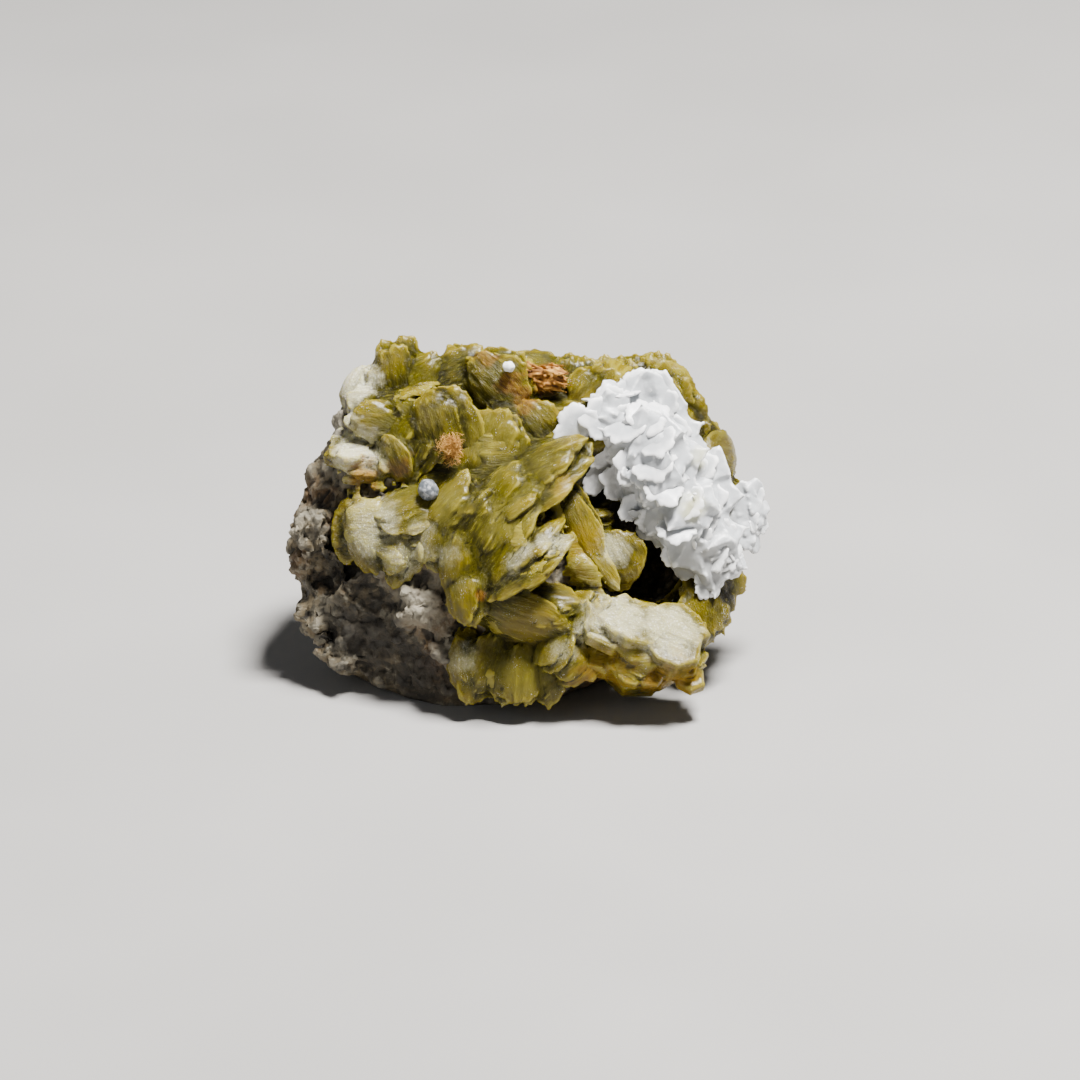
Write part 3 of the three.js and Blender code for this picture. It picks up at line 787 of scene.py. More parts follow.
def sink(piece, place, radius, depth):
    """Presses a round hollow into the front of a piece."""
    co = positions(piece.data)
    reach = (co - np.array(on_face(place))) / MM
    distance = np.hypot(reach @ np.array(ACROSS), reach @ np.array(RISE))
    share = np.clip(1.4 * (1 - distance / radius), 0, 1)
    front = np.clip((reach @ np.array(TOWARD) + depth) / depth, 0, 1)
    set_positions(piece.data, co - np.outer(share * front * depth * MM, np.array(TOWARD)))


# The siderite
def sheaf(crystals, masters, matrix, size, rng):
    """A lens that is split into leaves: the middle one stands out furthest, and the others
    step back from its front edge."""
    length, width, thickness = size
    count = 3 if thickness > THICK_LENS else 2
    tone = rng.random()
    for i in range(count):
        share = 2 * i / (count - 1) - 1
        back, along = jitter(rng, 0.04, 0.08)
        at = (along * length, (0.13 * abs(share) + back) * width, share * thickness * 0.24)
        turn, tip, roll = jitter(rng, *LEAF_TURNS)
        place = matrix @ nudged(at, turn, tip - 5 * share, roll)
        shrink = 1.04 - 0.14 * abs(share) + rng.uniform(-0.06, 0.04)
        leaf = (length * shrink, width * shrink, thickness * rng.uniform(0.65, 0.9))
        bend = jitter(rng, *LEAF_BEND)
        leaf_tone = min(1, max(0, tone + rng.uniform(-0.15, 0.15)))
        crystals.add(rng.choice(masters), leaf, place, rng, leaf_tone, bend)


def offshoots(crystals, masters, matrix, size, rng, count):
    """Small lenses on a crystal's face and edge, which lie nearly as it does."""
    length, width, thickness = size
    for _ in range(count):
        angle = rng.uniform(0, 2 * math.pi)
        reach = rng.uniform(0.3, 0.95) / 2
        at = (length * reach * math.cos(angle), width * reach * math.sin(angle))
        at = (*at, thickness * rng.uniform(-0.25, 0.3))
        place = matrix @ nudged(at, *jitter(rng, *OFFSHOOT_TURNS))
        share = rng.uniform(*OFFSHOOT_SHARE)
        leaf = (length * share, width * share, max(0.9, thickness * share))
        bend = jitter(rng, *OFFSHOOT_BEND)
        crystals.add(rng.choice(masters), leaf, place, rng, rng.random(), bend)


def slab(crystals, masters, matrix, size, rng, count):
    """Angular plates that lie on each other nearly flat, as a slab with a stepped top."""
    length, width, thickness = size
    for _ in range(count):
        across, up = jitter(rng, 0.27, 0.25)
        at = (length * across, width * up, thickness * rng.uniform(-0.15, 0.3))
        place = matrix @ nudged(at, *jitter(rng, *PLATE_TURNS))
        share = rng.uniform(*PLATE_SHARE)
        plate = (length * share, width * share * 1.1, thickness * 0.4)
        crystals.add(rng.choice(masters), plate, place, rng, rng.random())


def spread_leaves(crystals, masters, rng):
    """Crystals stand all over the siderite that faces up, right and back."""
    nodes = ("siderite_crystals", "matrix", "dolomite_cluster", "dolomite_side_cluster")
    surface, *others = [tree_of(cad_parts[node].data) for node in nodes]
    golden = math.pi * (3 - math.sqrt(5))
    centre = on_face(SPREAD_CENTRE)
    for i in range(SPREAD_COUNT):
        height = 1 - 2 * (i + 0.5) / SPREAD_COUNT
        ring = math.sqrt(1 - height * height)
        way = Vector((ring * math.cos(i * golden), ring * math.sin(i * golden), height))
        start = centre + way * SPREAD_REACH
        hit, normal, _, distance = surface.ray_cast(start, -way)
        length = rng.uniform(*SPREAD_LENGTH)
        tip = rng.uniform(-1, 1) * SPREAD_TIP
        turn = rng.uniform(0, 360)
        if hit is None or way.dot(TOWARD) > SPREAD_FRONT or hit.z < SPREAD_LOWEST:
            continue
        before = [tree.ray_cast(start, -way)[3] for tree in others]
        if any(reach is not None and reach < distance for reach in before):
            continue
        matrix = Matrix.Translation(hit - way * SPREAD_DEPTH)
        matrix = matrix @ standing((way + normal * 0.5).normalized())
        matrix = matrix @ turned("Z", turn) @ turned("X", tip)
        size = (length, length * rng.uniform(0.75, 0.95), length * rng.uniform(0.22, 0.3))
        sheaf(crystals, masters, matrix, size, rng)


def fill_slabs(crystals, rows, plates, counts, rng):
    for (place, *size, turn, lean), count in zip(rows, counts):
        slab(crystals, plates, face_matrix(place, turn, lean), size, rng, count)


def fill_group(crystals, rows, masters, small, extra, rng):
    for place, *size, turn, lean in rows:
        matrix = face_matrix(place, turn, lean)
        sheaf(crystals, masters, matrix, size, rng)
        offshoots(crystals, small, matrix, size, rng, extra)


def finish_siderite(name, pieces, crystals, material, voxel=FACE_VOXEL, ribs=RIBS):
    siderite = fuse(name, [*pieces, *crystals.pieces], voxel, 1)
    fill_valleys(siderite, *VALLEYS)
    own, tones = own_places(positions(siderite.data), crystals.frames)
    ripple(siderite, own, ribs)
    mark_own(siderite, own, tones)
    store_relief(siderite, relief=FACE_RELIEF, hollow=FACE_HOLLOW)
    finish_piece(siderite, material, "siderite_crystals")


def make_siderite(material):
    """The crust with the crystals of its back and top, and three groups on its face."""
    broad, pointed = disc_masters("lens"), disc_masters("pointed_lens")
    jagged, small = disc_masters("jagged_lens"), disc_masters("small_lens")
    plates = disc_masters("plate")

    rng, crystals = random.Random(CRUST_SEED), Crystals()
    spread_leaves(crystals, small, rng)
    core = shrunken_core("siderite_crystals", "siderite_core")
    sink(core, CAVITY_TOP, CAVITY_RADIUS, SIDERITE_SINK)
    finish_siderite("siderite", [core], crystals, material, CRUST_VOXEL)

    rng, crystals = random.Random(TOP_LEFT_SEED), Crystals()
    fill_group(crystals, TOP_ROW, jagged, small, 2, rng)
    fill_group(crystals, LEFT_GROUP, broad + pointed, small, 2, rng)
    fill_slabs(crystals, SHELF, plates, SHELF_PLATES, rng)
    finish_siderite("siderite_top_left", [], crystals, material)

    rng, crystals = random.Random(BLADES_SEED), Crystals()
    fill_group(crystals, MIDDLE_BLADES, pointed, small, 1, rng)
    fill_group(crystals, LOWER_BLADES, pointed, small, 2, rng)
    fill_group(crystals, CAVITY_CRYSTALS, broad, small, 0, rng)
    finish_siderite("siderite_blades", [], crystals, material)

    rng, crystals = random.Random(RIM_SEED), Crystals()
    fill_group(crystals, RIGHT_RIM, jagged, small, 3, rng)
    fill_slabs(crystals, LEDGE, plates, LEDGE_PLATES, rng)
    finish_siderite("siderite_rim_and_ledge", [], crystals, material, ribs=FAINT_RIBS)
    remove_masters(broad + pointed + jagged + small + plates)


# The host rock: kind of texture, size and height of its lumps, blocks, crumbs, grit and dust.
# A block's height is measured from its border.
BORDERS = {"weight_1": -1, "weight_2": 1}
ROCK_LAYERS = [
    ("CLOUDS", 0.0050, 0.0018, {}),
    ("VORONOI", 0.0034, 0.0028, BORDERS),
    ("VORONOI", 0.0014, 0.0008, BORDERS),
    ("CLOUDS", 0.0009, 0.0009, {}),
    ("CLOUDS", 0.0004, 0.0004, {}),
]
# The level that the layers start from, and how high the flat base reaches and its crumb fades
LAYER_LEVEL = 0.35
BASE_TOP, BASE_FADE = 0.0004, 0.0012


def make_matrix(material):
    rock = copy_of_node("matrix", "rock")
    sink(rock, CAVITY_TOP, CAVITY_RADIUS, ROCK_SINK)
    remesh(rock, ROCK_VOXEL, 2)
    above = rock.vertex_groups.new(name="above_base")
    for v in rock.data.vertices:
        above.add([v.index], min(1, max(0, (v.co.z - BASE_TOP) / BASE_FADE)), "REPLACE")
    for kind, size, strength, settings in ROCK_LAYERS:
        displace(rock, kind, size, strength, LAYER_LEVEL, "above_base", **settings)
    store_relief(rock, relief=ROCK_RELIEF, hollow=ROCK_HOLLOW)
    finish_piece(rock, material, "matrix", sharp=50)


# The dolomite
def band_places(band, spacing, layers, rng):
    """Places on the rounded ridge along a band, with a direction that looks out of it."""
    places = []
    for (start, start_half), (end, end_half) in zip(band, band[1:]):
        start, end = Vector(start), Vector(end)
        along = end - start
        sideways = Vector((-along.y, along.x, 0)).normalized()
        rows = max(1, round(along.length / spacing))
        for row in range(rows):
            share = (row + rng.uniform(0.2, 0.8)) / rows
            half = start_half + (end_half - start_half) * share
            for layer in range(layers):
                angle = math.pi * (layer + rng.uniform(0.15, 0.85)) / layers
                out = sideways * math.cos(angle) + UP * math.sin(angle)
                at = start + along * share + sideways * math.cos(angle) * half
                at += UP * math.sin(angle) * half * RIDGE_HEIGHT
                places.append((at, (out + UP * RIDGE_LOOK).normalized()))
    return places


def petal(crystals, masters, matrix, size, thickness, rng):
    """A saddle-shaped plate; its thickness is a share of its size."""
    grown = (size, size * rng.uniform(0.75, 0.95), size * thickness)
    bend = (0, rng.uniform(0.03, 0.08) * size, rng.uniform(-0.04, 0.04) * size)
    crystals.add(rng.choice(masters), grown, matrix, rng, rng.random(), bend)


def grow_petals(crystals, masters, band, row, rng):
    """Petals all over a band, which look and tip out of it."""
    spacing, layers, sizes, thickness, tilt = row
    for at, out in band_places(band, spacing, layers, rng):
        size = rng.uniform(*sizes)
        matrix = Matrix.Translation(on_face(at)) @ FACE_BASIS @ standing(out)
        matrix = matrix @ turned("Z", rng.uniform(0, 360))
        matrix = matrix @ turned("X", rng.uniform(0.35, 1) * tilt)
        petal(crystals, masters, matrix, size, thickness, rng)


def make_dolomite(name, node, seed, voxel, band, inner, outer, outline, masters, material):
    """A fused mass with sharp petals on it, marked with how far each point stands out."""
    rng = random.Random(seed)
    mass, petals = Crystals(), Crystals()
    grow_petals(mass, masters, band, inner, rng)
    grow_petals(petals, masters, band, outer, rng)
    for place, size, turn, lean in outline:
        petal(petals, masters, face_matrix(place, turn, lean), size, OUTLINE_THICKNESS, rng)
    core = shrunken_core(node, name + "_core")
    inside = tree_of(core.data)
    piece = join([fuse(name, [core, *mass.pieces], voxel, 0), *petals.pieces])
    store_relief(piece, relief=PETAL_RELIEF)
    depth = np.array([inside.find_nearest(v.co)[3] for v in piece.data.vertices])
    store(piece, "hollow", depth / PETAL_DEPTH)
    finish_piece(piece, material, node)


# Small pieces on the siderite
def make_grain(node, name, slot, sharp, faces, strength, material):
    grain = copy_of_node(node, name)
    apply_modifier(grain, "SUBSURF", levels=3, render_levels=3, subdivision_type="SIMPLE")
    apply_modifier(grain, "SMOOTH", factor=0.5, iterations=6)
    displace(grain, "VORONOI", faces, strength)
    store_relief(grain, relief=GRAIN_RELIEF, hollow=FACE_HOLLOW)
    finish_piece(grain, material, node, sharp=sharp)


def fibre_master(sides):
    """A tapering fibre of length 1 along Z."""
    select_only()
    bpy.ops.mesh.primitive_cone_add(vertices=sides, radius1=0.5, radius2=0.15, depth=1)
    fibre = bpy.context.object
    fibre.data.transform(Matrix.Translation((0, 0, 0.5)))
    edit(fibre)
    bpy.ops.mesh.select_all(action="SELECT")
    bpy.ops.mesh.subdivide(number_cuts=2)
    leave_edit()
    return fibre


def fibre_copy(master, foot, lean, length, width, curl, tone):
    """A fibre at its place, curled to one side, with a tone of its own."""
    mesh = master.data.copy()
    co = positions(mesh)
    along = co[:, 2].copy()
    co *= np.array((width[0], width[1], length))
    co[:, 0] += curl[0] * length * along**2
    co[:, 1] += curl[1] * length * np.sin(along * math.pi)
    set_positions(mesh, co)
    mesh.transform(Matrix.Translation(foot) @ standing(lean))
    piece = new_piece("fibre", mesh)
    mark_own(piece, positions(mesh) / MM, tone)
    return piece


def random_way(rng):
    return Vector((rng.gauss(0, 1), rng.gauss(0, 1), rng.gauss(0, 1))).normalized()


def make_tuft(material):
    rng = random.Random(TUFT_SEED)
    low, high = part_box("limonite_tuft")
    centre, half = (low + high) / 2, (high - low) / 2
    tuft = shrunken_core("limonite_tuft", "iron_oxide_tuft")
    mark_own(tuft, positions(tuft.data) / MM, 0.3)
    master = fibre_master(3)
    fibres = []
    for _ in range(TUFT_FIBRES):
        way = random_way(rng)
        deep = rng.uniform(0.3, 1.0) * (0.95 + 0.9 * noise.noise(way * 1.6))
        foot = centre + Vector((way.x * half.x, way.y * half.y, way.z * half.z)) * deep
        lean = (way * 0.15 + random_way(rng)).normalized()
        length, width = rng.uniform(*FIBRE_LENGTH) * MM, rng.uniform(*FIBRE_WIDTH) * MM
        curl = jitter(rng, 0.9, 0.4)
        foot -= lean * length * 0.4
        tone = rng.uniform(0.3, 1.0)
        fibres.append(fibre_copy(master, foot, lean, length, (width, width), curl, tone))
    join([tuft, *fibres])
    bpy.data.objects.remove(master)
    finish_piece(tuft, material, "limonite_tuft")


def make_crust(material):
    """A splintery lump: needles that run along the ridge and hang over its side."""
    rng = random.Random(SPLINTER_SEED)
    low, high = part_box("limonite_crust")
    middle = (low + high) / 2
    parts = [shrunken_core("limonite_crust", "crust_core")]
    master = fibre_master(5)
    for _ in range(CRUST_SPLINTERS):
        foot = Vector(rng.uniform(low[i], high[i]) for i in range(3))
        foot = middle + (foot - middle) * 0.85
        lean = Vector((1, rng.gauss(0, 0.2), rng.gauss(-0.3, 0.2))).normalized()
        length = rng.uniform(*SPLINTER_LENGTH) * MM
        width = (rng.uniform(*SPLINTER_WIDTH) * MM, rng.uniform(*SPLINTER_THICKNESS) * MM)
        curl = jitter(rng, 0.2, 0.1)
        foot -= lean * length * 0.5
        parts.append(fibre_copy(master, foot, lean, length, width, curl, 0.5))
    crust = fuse("iron_oxide_crust", parts, SPLINTER_VOXEL, 0)
    bpy.data.objects.remove(master)
    co = positions(crust.data) / MM
    tones = np.array([0.3 + 0.7 * noise.noise(Vector(p)) for p in co * (0.8, 3.0, 3.0)])
    mark_own(crust, co, np.clip(tones, 0, 1))
    finish_piece(crust, material, "limonite_crust", sharp=40)


# Building shader nodes
class Graph:
    """Adds nodes to a tree; an input is given a number, a colour or another node's output."""

    def __init__(self, tree):
        self.tree = tree

    def add(self, kind, inputs=None, **settings):
        node = self.tree.nodes.new(kind)
        for name, value in settings.items():
            setattr(node, name, value)
        for name, value in (inputs or {}).items():
            self.put(node.inputs[name], value)
        return node

    def put(self, socket, value):
        if isinstance(value, bpy.types.NodeSocket):
            self.tree.links.new(value, socket)
        else:
            socket.default_value = value

    def math(self, operation, first, second, clamp=False):
        inputs = {0: first, 1: second}
        return self.add("ShaderNodeMath", inputs, operation=operation, use_clamp=clamp).outputs[0]

    def plus(self, first, second):
        return self.math("ADD", first, second)

    def times(self, first, second):
        return self.math("MULTIPLY", first, second)

    def larger(self, first, second):
        return self.math("MAXIMUM", first, second)

    def vector(self, operation, *values):
        node = self.add("ShaderNodeVectorMath", dict(enumerate(values)), operation=operation)
        return node.outputs["Value" if operation == "DISTANCE" else "Vector"]

    def scaled(self, vector, factor):
        inputs = {0: vector, "Scale": factor}
        return self.add("ShaderNodeVectorMath", inputs, operation="SCALE").outputs[0]

    def mix(self, share, first, second):
        inputs = {0: share, 6: first, 7: second}
        return self.add("ShaderNodeMix", inputs, data_type="RGBA").outputs[2]

    def between(self, value, low, high, to_low=0.0, to_high=1.0):
        """A smooth step of a value from low to high."""
        inputs = {0: value, 1: low, 2: high, 3: to_low, 4: to_high}
        node = self.add("ShaderNodeMapRange", inputs, interpolation_type="SMOOTHSTEP")
        return node.outputs[0]

    def noise(self, vector, scale, detail, roughness):
        inputs = {"Vector": vector, "Scale": scale, "Detail": detail, "Roughness": roughness}
        return self.add("ShaderNodeTexNoise", inputs).outputs[0]

    def attribute(self, name):
        return self.add("ShaderNodeAttribute", attribute_name=name).outputs

    def group(self, tree, inputs):
        return self.add("ShaderNodeGroup", inputs, node_tree=tree).outputs

    def bumped(self, height, strength, distance):
        inputs = {"Height": height, "Strength": strength, "Distance": distance}
        return self.add("ShaderNodeBump", inputs).outputs[0]


def new_group(name, inputs, outputs):
    """The graph of an empty group, and the sockets at its two ends."""
    tree = bpy.data.node_groups.new(name, "ShaderNodeTree")
    for socket, kind in inputs.items():
        tree.interface.new_socket(socket, in_out="INPUT", socket_type="NodeSocket" + kind)
    for socket in outputs:
        tree.interface.new_socket(socket, in_out="OUTPUT", socket_type="NodeSocketFloat")
    graph = Graph(tree)
    return graph, graph.add("NodeGroupInput").outputs, graph.add("NodeGroupOutput").inputs


def area_group():
    """A ragged round area: 1 at its centre, 0 outside."""
    inputs = {"Place": "Vector", "Centre": "Vector", "Radius": "Float"}
    inputs = {**inputs, "Strength": "Float", "Uneven": "Float"}
    graph, start, end = new_group("area", inputs, ["Mask"])
    distance = graph.vector("DISTANCE", start["Place"], start["Centre"])
    share = graph.plus(graph.math("DIVIDE", distance, start["Radius"]), start["Uneven"])
    mask = graph.between(share, 1.0, 0.35)
    graph.put(end["Mask"], graph.math("MULTIPLY", mask, start["Strength"], clamp=True))
    return graph.tree


def fibre_group():
    """Streaks along a crystal and specks where painted glints go, from the crystal's own
    coordinates.
    """
    graph, start, end = new_group("fibres", {"Own": "Vector"}, ["Streaks", "Glints", "Height"])
    own = graph.scaled(start["Own"], OWN_SCALE)
    warp = graph.add("ShaderNodeTexNoise", {"Vector": own, "Scale": 0.5, "Detail": 2.0}).outputs[1]
    fine = graph.vector("MULTIPLY_ADD", warp, (0.6, 0.5, 0.3), own)
    streaks = graph.noise(graph.vector("MULTIPLY", fine, (0.5, 2.6, 4.0)), 1.0, 5.0, 0.7)
    thin = graph.noise(graph.vector("MULTIPLY", fine, (4.0, 9.0, 9.0)), 1.0, 2.0, 0.6)
    graph.put(end["Streaks"], streaks)
    graph.put(end["Glints"], graph.between(thin, 0.62, 0.7))
    graph.put(end["Height"], graph.plus(streaks, graph.times(thin, 0.35)))
    return graph.tree


def grain_group():
    """The crumb of rock: the tone of its grains, and their height."""
    graph, start, end = new_group("grain", {"Place": "Vector", "Size": "Float"}, ["Tone", "Height"])
    scale = graph.math("DIVIDE", 1.0, start["Size"])
    cells = {"Vector": start["Place"], "Scale": scale}
    coarse = graph.add("ShaderNodeTexVoronoi", cells).outputs
    tone = graph.add("ShaderNodeSeparateXYZ", {0: coarse["Color"]}).outputs[0]
    fine = graph.noise(start["Place"], graph.times(scale, 3.0), 5.0, 0.7)
    height = graph.math("SUBTRACT", fine, graph.times(coarse["Distance"], 0.6))
    graph.put(end["Tone"], tone)
    graph.put(end["Height"], height)
    return graph.tree


class Look(Graph):
    """A material whose colour is painted in layers. Its clouds are a broad noise."""

    def __init__(self, name, scale, detail, roughness):
        self.material = bpy.data.materials.new(name)
        self.material.use_nodes = True
        self.material.node_tree.nodes.clear()
        super().__init__(self.material.node_tree)
        place = self.add("ShaderNodeTexCoord").outputs["Object"]
        self.place = self.scaled(place, 1 / MM)
        self.clouds = self.noise(self.place, scale, detail, roughness)

    def relief(self):
        return [self.attribute(name)["Fac"] for name in ("relief", "hollow")]

    def base(self, value, low, high, first, second):
        """The lowest layer, whose colour goes with a value."""
        self.colour = self.mix(self.between(value, low, high), first, second)

    def cover(self, mask, colour):
        self.colour = self.mix(mask, self.colour, colour)

    def paint(self, value, low, high, most, colour):
        """Covers the places where a value goes from low to high."""
        self.cover(self.between(value, low, high, 0.0, most), colour)

    def areas(self, group, rows, ragged):
        """One mask for a list of areas on the face."""
        uneven = self.times(self.math("SUBTRACT", self.clouds, 0.5), ragged)
        total = None
        for centre, radius, strength in rows:
            inputs = {"Place": self.place, "Centre": on_face(centre) / MM, "Radius": radius}
            inputs = {**inputs, "Strength": strength, "Uneven": uneven}
            mask = self.group(group, inputs)["Mask"]
            total = self.larger(total, mask) if total else mask
        return total

    def finish(self, inputs):
        """Adds the Principled shader and the output, and gives the material."""
        inputs = {"Base Color": self.colour, **inputs}
        shader = self.add("ShaderNodeBsdfPrincipled", inputs)
        self.add("ShaderNodeOutputMaterial", {"Surface": shader.outputs[0]})
        return self.material


def rgb(red, green, blue):
    return (red, green, blue, 1)


def siderite_material(area, fibres):
    look = Look("siderite", 0.5, 4.0, 0.6)
    own = look.attribute("own")
    relief, hollow = look.relief()
    fibre = look.group(fibres, {"Own": own["Color"]})
    streaks = fibre["Streaks"]
    veil = look.noise(look.vector("MULTIPLY", own["Color"], (9, 22, 22)), 1.0, 5.0, 0.7)
    grit = look.noise(look.place, 3.4, 5.0, 0.7)

    deep, olive = rgb(0.012, 0.010, 0.0), rgb(0.070, 0.059, 0.0)
    golden, pale = rgb(0.22, 0.155, 0.0), rgb(0.24, 0.208, 0.0)
    cream, white = rgb(0.50, 0.47, 0.275), rgb(0.86, 0.85, 0.70)
    rust, ochre = rgb(0.095, 0.031, 0.0015), rgb(0.27, 0.13, 0.008)
    clear, chalk_and_light = rgb(0.25, 0.213, 0.03), rgb(0.70, 0.67, 0.50)
    amber_glow, edge, shadow = rgb(0.29, 0.19, 0.004), rgb(0.31, 0.27, 0.03), rgb(0.012, 0.009, 0.0)

    # Base colour: darker in broad hollows, which is painted shade, and varied by each crystal's
    # tone and the clouds
    shade = look.plus(look.times(own["Alpha"], 0.45), look.clouds)
    look.base(look.plus(shade, look.times(hollow, 0.9)), 0.8, 1.5, deep, olive)
    # Painted glow: parts that stand out turn golden, as if light shone through them
    look.paint(hollow, 0.5, 0.8, 0.6, golden)
    look.paint(streaks, 0.5, 0.75, 0.3, pale)
    look.paint(veil, 0.5, 0.68, 0.3, pale)
    look.cover(look.areas(area, OLIVE_AREAS, RAGGED), clear)
    light = look.areas(area, PALE_AREAS, RAGGED)
    light = look.times(light, look.between(streaks, 0.3, 0.6, 0.65, 1.0))
    look.cover(light, cream)
    look.cover(look.areas(area, WHITE_AREAS, RAGGED), chalk_and_light)
    # White specks on the pale areas: painted glints of sugary grains
    look.cover(look.times(look.between(grit, 0.54, 0.66), light), white)
    # Amber with painted glow of light shining through thin crystal
    look.cover(look.areas(area, AMBER_GLOW_AREAS, RAGGED), amber_glow)
    # Painted highlight: a bright line along sharp rims
    look.paint(relief, 0.78, 1.0, 0.45, edge)
    # Painted glints: white specks on crests and on the pale areas
    glint_crests = look.times(look.between(look.clouds, 0.52, 0.66), look.between(hollow, 0.45, 0.7))
    look.cover(look.times(fibre["Glints"], look.larger(glint_crests, light)), white)
    rusty = look.mix(look.between(streaks, 0.4, 0.6), rust, ochre)
    look.cover(look.areas(area, RUSTY_AREAS, STAINED), rusty)
    # Painted shade: shadowed areas, broad hollows and creases between crystals darken to near black
    dark = look.areas(area, SHADOW_AREAS, EVEN)
    dark = look.larger(dark, look.between(hollow, 0.46, 0.14, 0.0, 0.88))
    dark = look.larger(dark, look.between(relief, 0.32, 0.04, 0.0, 0.7))
    look.cover(dark, shadow)

    height = look.times(fibre["Height"], look.between(light, 0.0, 1.0, 1.0, 0.35))
    height = look.plus(height, look.times(grit, light))
    smooth = look.math("SUBTRACT", 1.0, light, clamp=True)
    inputs = {
        "Roughness": look.between(look.plus(veil, light), 0.35, 1.0, 0.16, 0.45),
        "IOR": 1.5,
        "Specular IOR Level": 0.2,
        "Coat Weight": look.times(look.between(hollow, 0.4, 0.65, 0.0, 0.3), smooth),
        "Coat Roughness": 0.14,
        "Coat Normal": look.bumped(veil, 0.18, 0.0004),
        "Subsurface Weight": 0.45,
        "Subsurface Radius": (1.0, 0.8, 0.1),
        "Subsurface Scale": 0.0008,
        "Normal": look.bumped(height, 0.9, 0.0004),
    }
    return look.finish(inputs)


def matrix_material(area, grain):
    look = Look("matrix", 0.5, 5.0, 0.65)
    relief, hollow = look.relief()
    crumb = look.group(grain, {"Place": look.place, "Size": 0.8})
    broad = look.noise(look.place, 0.14, 4.0, 0.6)
    cream, white = rgb(0.145, 0.112, 0.060), rgb(0.26, 0.235, 0.175)
    grey, rock_shade = rgb(0.058, 0.048, 0.028), rgb(0.010, 0.007, 0.003)
    ochre = rgb(0.15, 0.07, 0.012)

    look.base(crumb["Tone"], 0.2, 0.8, grey, cream)
    look.paint(broad, 0.5, 0.65, 0.6, ochre)
    look.paint(look.clouds, 0.52, 0.68, 0.8, white)
    look.cover(look.areas(area, ROCK_PALE, RAGGED), white)
    look.paint(relief, 0.6, 0.95, 0.45, white)
    # Painted shade: near black in shadowed areas, hollows and creases
    dark = look.areas(area, ROCK_SHADOW, RAGGED)
    look.cover(look.larger(dark, look.between(hollow, 0.45, 0.1, 0.0, 0.9)), rock_shade)
    look.paint(relief, 0.4, 0.1, 0.7, rock_shade)
    inputs = {
        "Roughness": look.between(look.clouds, 0.3, 0.7, 0.5, 0.85),
        "Normal": look.bumped(crumb["Height"], 0.6, 0.0004),
    }
    return look.finish(inputs)


def dolomite_material(area, grain):
    look = Look("dolomite", 0.5, 4.0, 0.6)
    relief, hollow = look.relief()
    fine = look.group(grain, {"Place": look.place, "Size": 0.35})
    white, grey = rgb(0.98, 0.98, 0.98), rgb(0.50, 0.52, 0.54)
    yellow, shade_grey, edge = rgb(0.70, 0.68, 0.36), rgb(0.32, 0.32, 0.31), rgb(0.96, 0.96, 0.96)

    # Greyer deep among the petals near the core, which is painted shade, and varied by the clouds
    look.base(look.plus(look.times(look.clouds, 0.7), hollow), 0.5, 1.05, grey, white)
    look.cover(look.areas(area, DOLOMITE_YELLOW, EVEN), yellow)
    # Painted shade: grey where shadow falls on the cluster
    look.cover(look.areas(area, DOLOMITE_SHADOW, EVEN), shade_grey)
    # Painted highlight: whiter petal rims
    look.paint(relief, 0.6, 0.9, 0.8, edge)
    inputs = {
        "Roughness": look.between(look.clouds, 0.3, 0.7, 0.3, 0.5),
        "IOR": 1.6,
        "Subsurface Weight": 0.2,
        "Subsurface Radius": (1.0, 1.0, 1.0),
        "Subsurface Scale": 0.0006,
        "Coat Weight": 0.15,
        "Coat Roughness": 0.2,
        "Normal": look.bumped(fine["Height"], 0.2, 0.00012),
    }
    return look.finish(inputs)


def quartz_material(grain):
    look = Look("quartz", 1.2, 4.0, 0.6)
    fine = look.group(grain, {"Place": look.place, "Size": 0.35})
    dark, light, fleck = rgb(0.08, 0.092, 0.105), rgb(0.18, 0.193, 0.21), rgb(0.43, 0.44, 0.45)
    look.base(look.clouds, 0.4, 0.65, dark, light)
    look.paint(fine["Tone"], 0.7, 0.9, 0.6, fleck)
    return look.finish({"Roughness": 0.35, "Normal": look.bumped(fine["Height"], 0.4, 0.0002)})


def limonite_material(grain):
    look = Look("limonite", 1.0, 4.0, 0.6)
    tone = look.attribute("own")["Alpha"]
    fine = look.group(grain, {"Place": look.place, "Size": 0.4})
    dark, rust, ochre = rgb(0.12, 0.04, 0.002), rgb(0.34, 0.14, 0.01), rgb(0.62, 0.33, 0.07)
    shade = look.plus(look.times(tone, 0.5), look.times(look.clouds, 0.5))
    look.base(shade, 0.2, 0.45, dark, rust)
    look.paint(shade, 0.4, 0.62, 1.0, ochre)
    return look.finish({"Roughness": 0.8, "Normal": look.bumped(fine["Height"], 0.4, 0.0002)})


def floor_material():
    look = Look("floor", 0.02, 2.0, 0.5)
    look.base(look.clouds, 0.3, 0.7, rgb(0.315, 0.308, 0.30), rgb(0.34, 0.332, 0.324))
    return look.finish({"Roughness": 0.75})


# Floor, light and camera
FLOOR_SIZE = 3
# Place, size, power and colour of each lamp, and the light from all round
KEY_LAMP = ((0.14, -0.02, 0.54), 0.14, 16.0, (1, 0.98, 0.95))
FILL_LAMP = ((-0.45, -0.50, 0.35), 0.6, 0.78, (0.94, 0.97, 1))
ROOM_COLOUR, ROOM_STRENGTH = rgb(0.9, 0.92, 0.95), 0.1
# The camera's lens and sensor, where its aim lies over the face, and the range it shows
LENS, SENSOR = 300, 36
AIM_HEIGHT = 5
NEAR_CLIP, FAR_CLIP = 0.05, 20


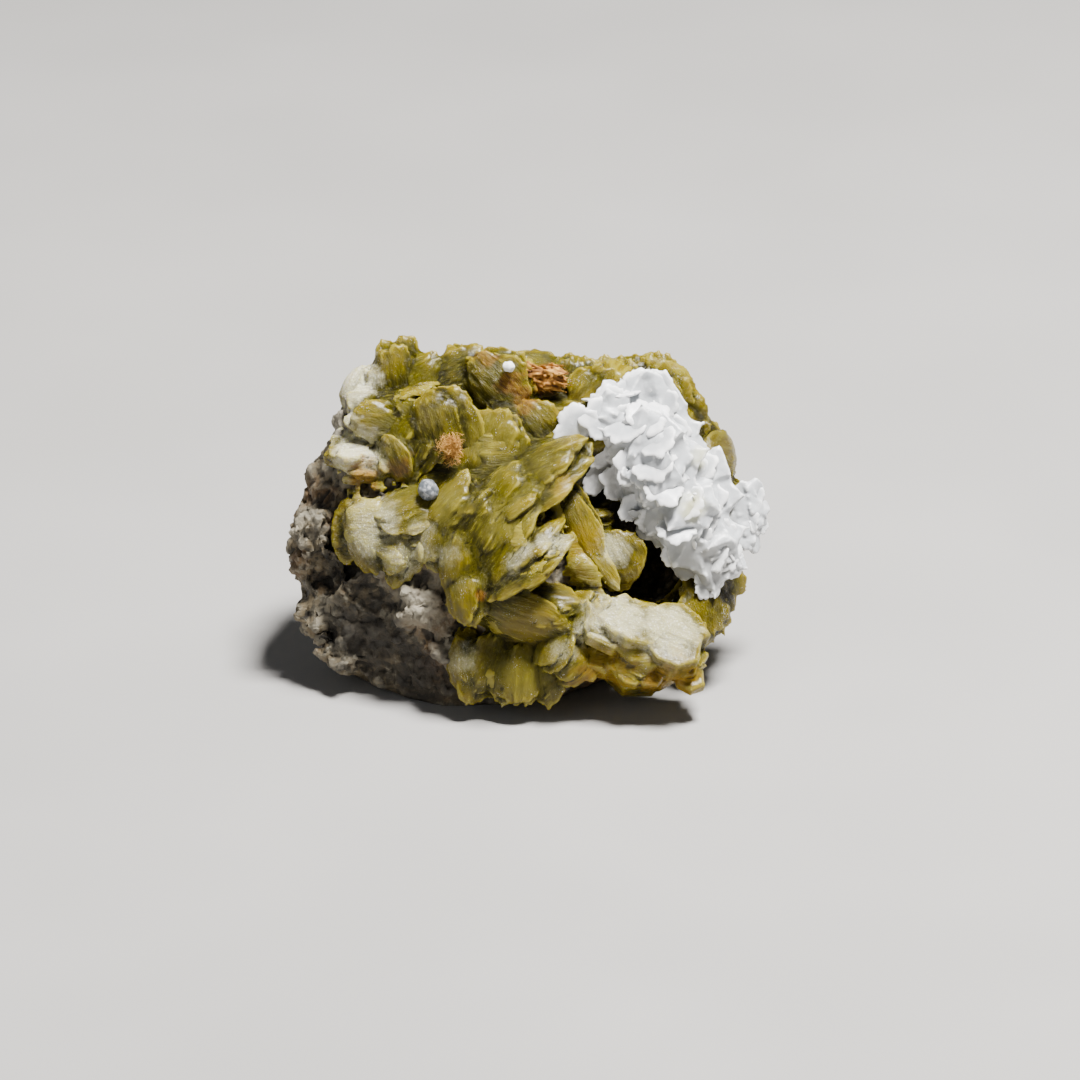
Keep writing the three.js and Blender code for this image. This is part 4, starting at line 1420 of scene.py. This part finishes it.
def make_stage():
    select_only()
    bpy.ops.mesh.primitive_plane_add(size=FLOOR_SIZE)
    floor = bpy.context.object
    floor.name = "floor"
    floor.data.materials.append(floor_material())


def make_lamp(name, at, size, power, colour):
    lamp = bpy.data.lights.new(name, "AREA")
    lamp.size = size
    lamp.energy = power
    lamp.color = colour
    piece = new_piece(name, lamp)
    piece.location = at
    piece.rotation_euler = (FACE_MIDDLE - Vector(at)).to_track_quat("-Z", "Y").to_euler()


def make_lights():
    make_lamp("key", *KEY_LAMP)
    make_lamp("fill", *FILL_LAMP)
    world = bpy.data.worlds.new("room")
    world.use_nodes = True
    room = world.node_tree.nodes["Background"].inputs
    room["Color"].default_value = ROOM_COLOUR
    room["Strength"].default_value = ROOM_STRENGTH
    bpy.context.scene.world = world


def make_camera():
    """Looks straight at the crystal face through a long lens, with the photograph's framing."""
    half_field = PHOTO_SIZE / PHOTO_PER_MM / 2 * MM
    distance = half_field / (SENSOR / 2 / LENS)
    middle = PHOTO_SIZE / 2
    across = (middle - PHOTO_FACE_MIDDLE[0]) / PHOTO_PER_MM
    rise = (PHOTO_FACE_MIDDLE[1] - middle) / PHOTO_PER_MM
    data = bpy.data.cameras.new("camera")
    data.lens = LENS
    data.sensor_width = SENSOR
    data.clip_start = NEAR_CLIP
    data.clip_end = FAR_CLIP
    camera = new_piece("camera", data)
    camera.location = on_face((across, rise, AIM_HEIGHT)) + TOWARD * distance
    camera.rotation_euler = (-TOWARD).to_track_quat("-Z", "Y").to_euler()
    bpy.context.scene.camera = camera


def make_specimen():
    area, fibres, grain = area_group(), fibre_group(), grain_group()
    dolomite = dolomite_material(area, grain)
    limonite = limonite_material(grain)
    make_matrix(matrix_material(area, grain))
    make_siderite(siderite_material(area, fibres))
    petals = disc_masters("petal")
    for name, row in DOLOMITE_PIECES.items():
        make_dolomite(name, *row, petals, dolomite)
    remove_masters(petals)
    make_grain(*RHOMB, dolomite)
    make_grain(*QUARTZ, quartz_material(grain))
    make_tuft(limonite)
    make_crust(limonite)


make_camera()
make_stage()
make_lights()
make_specimen()
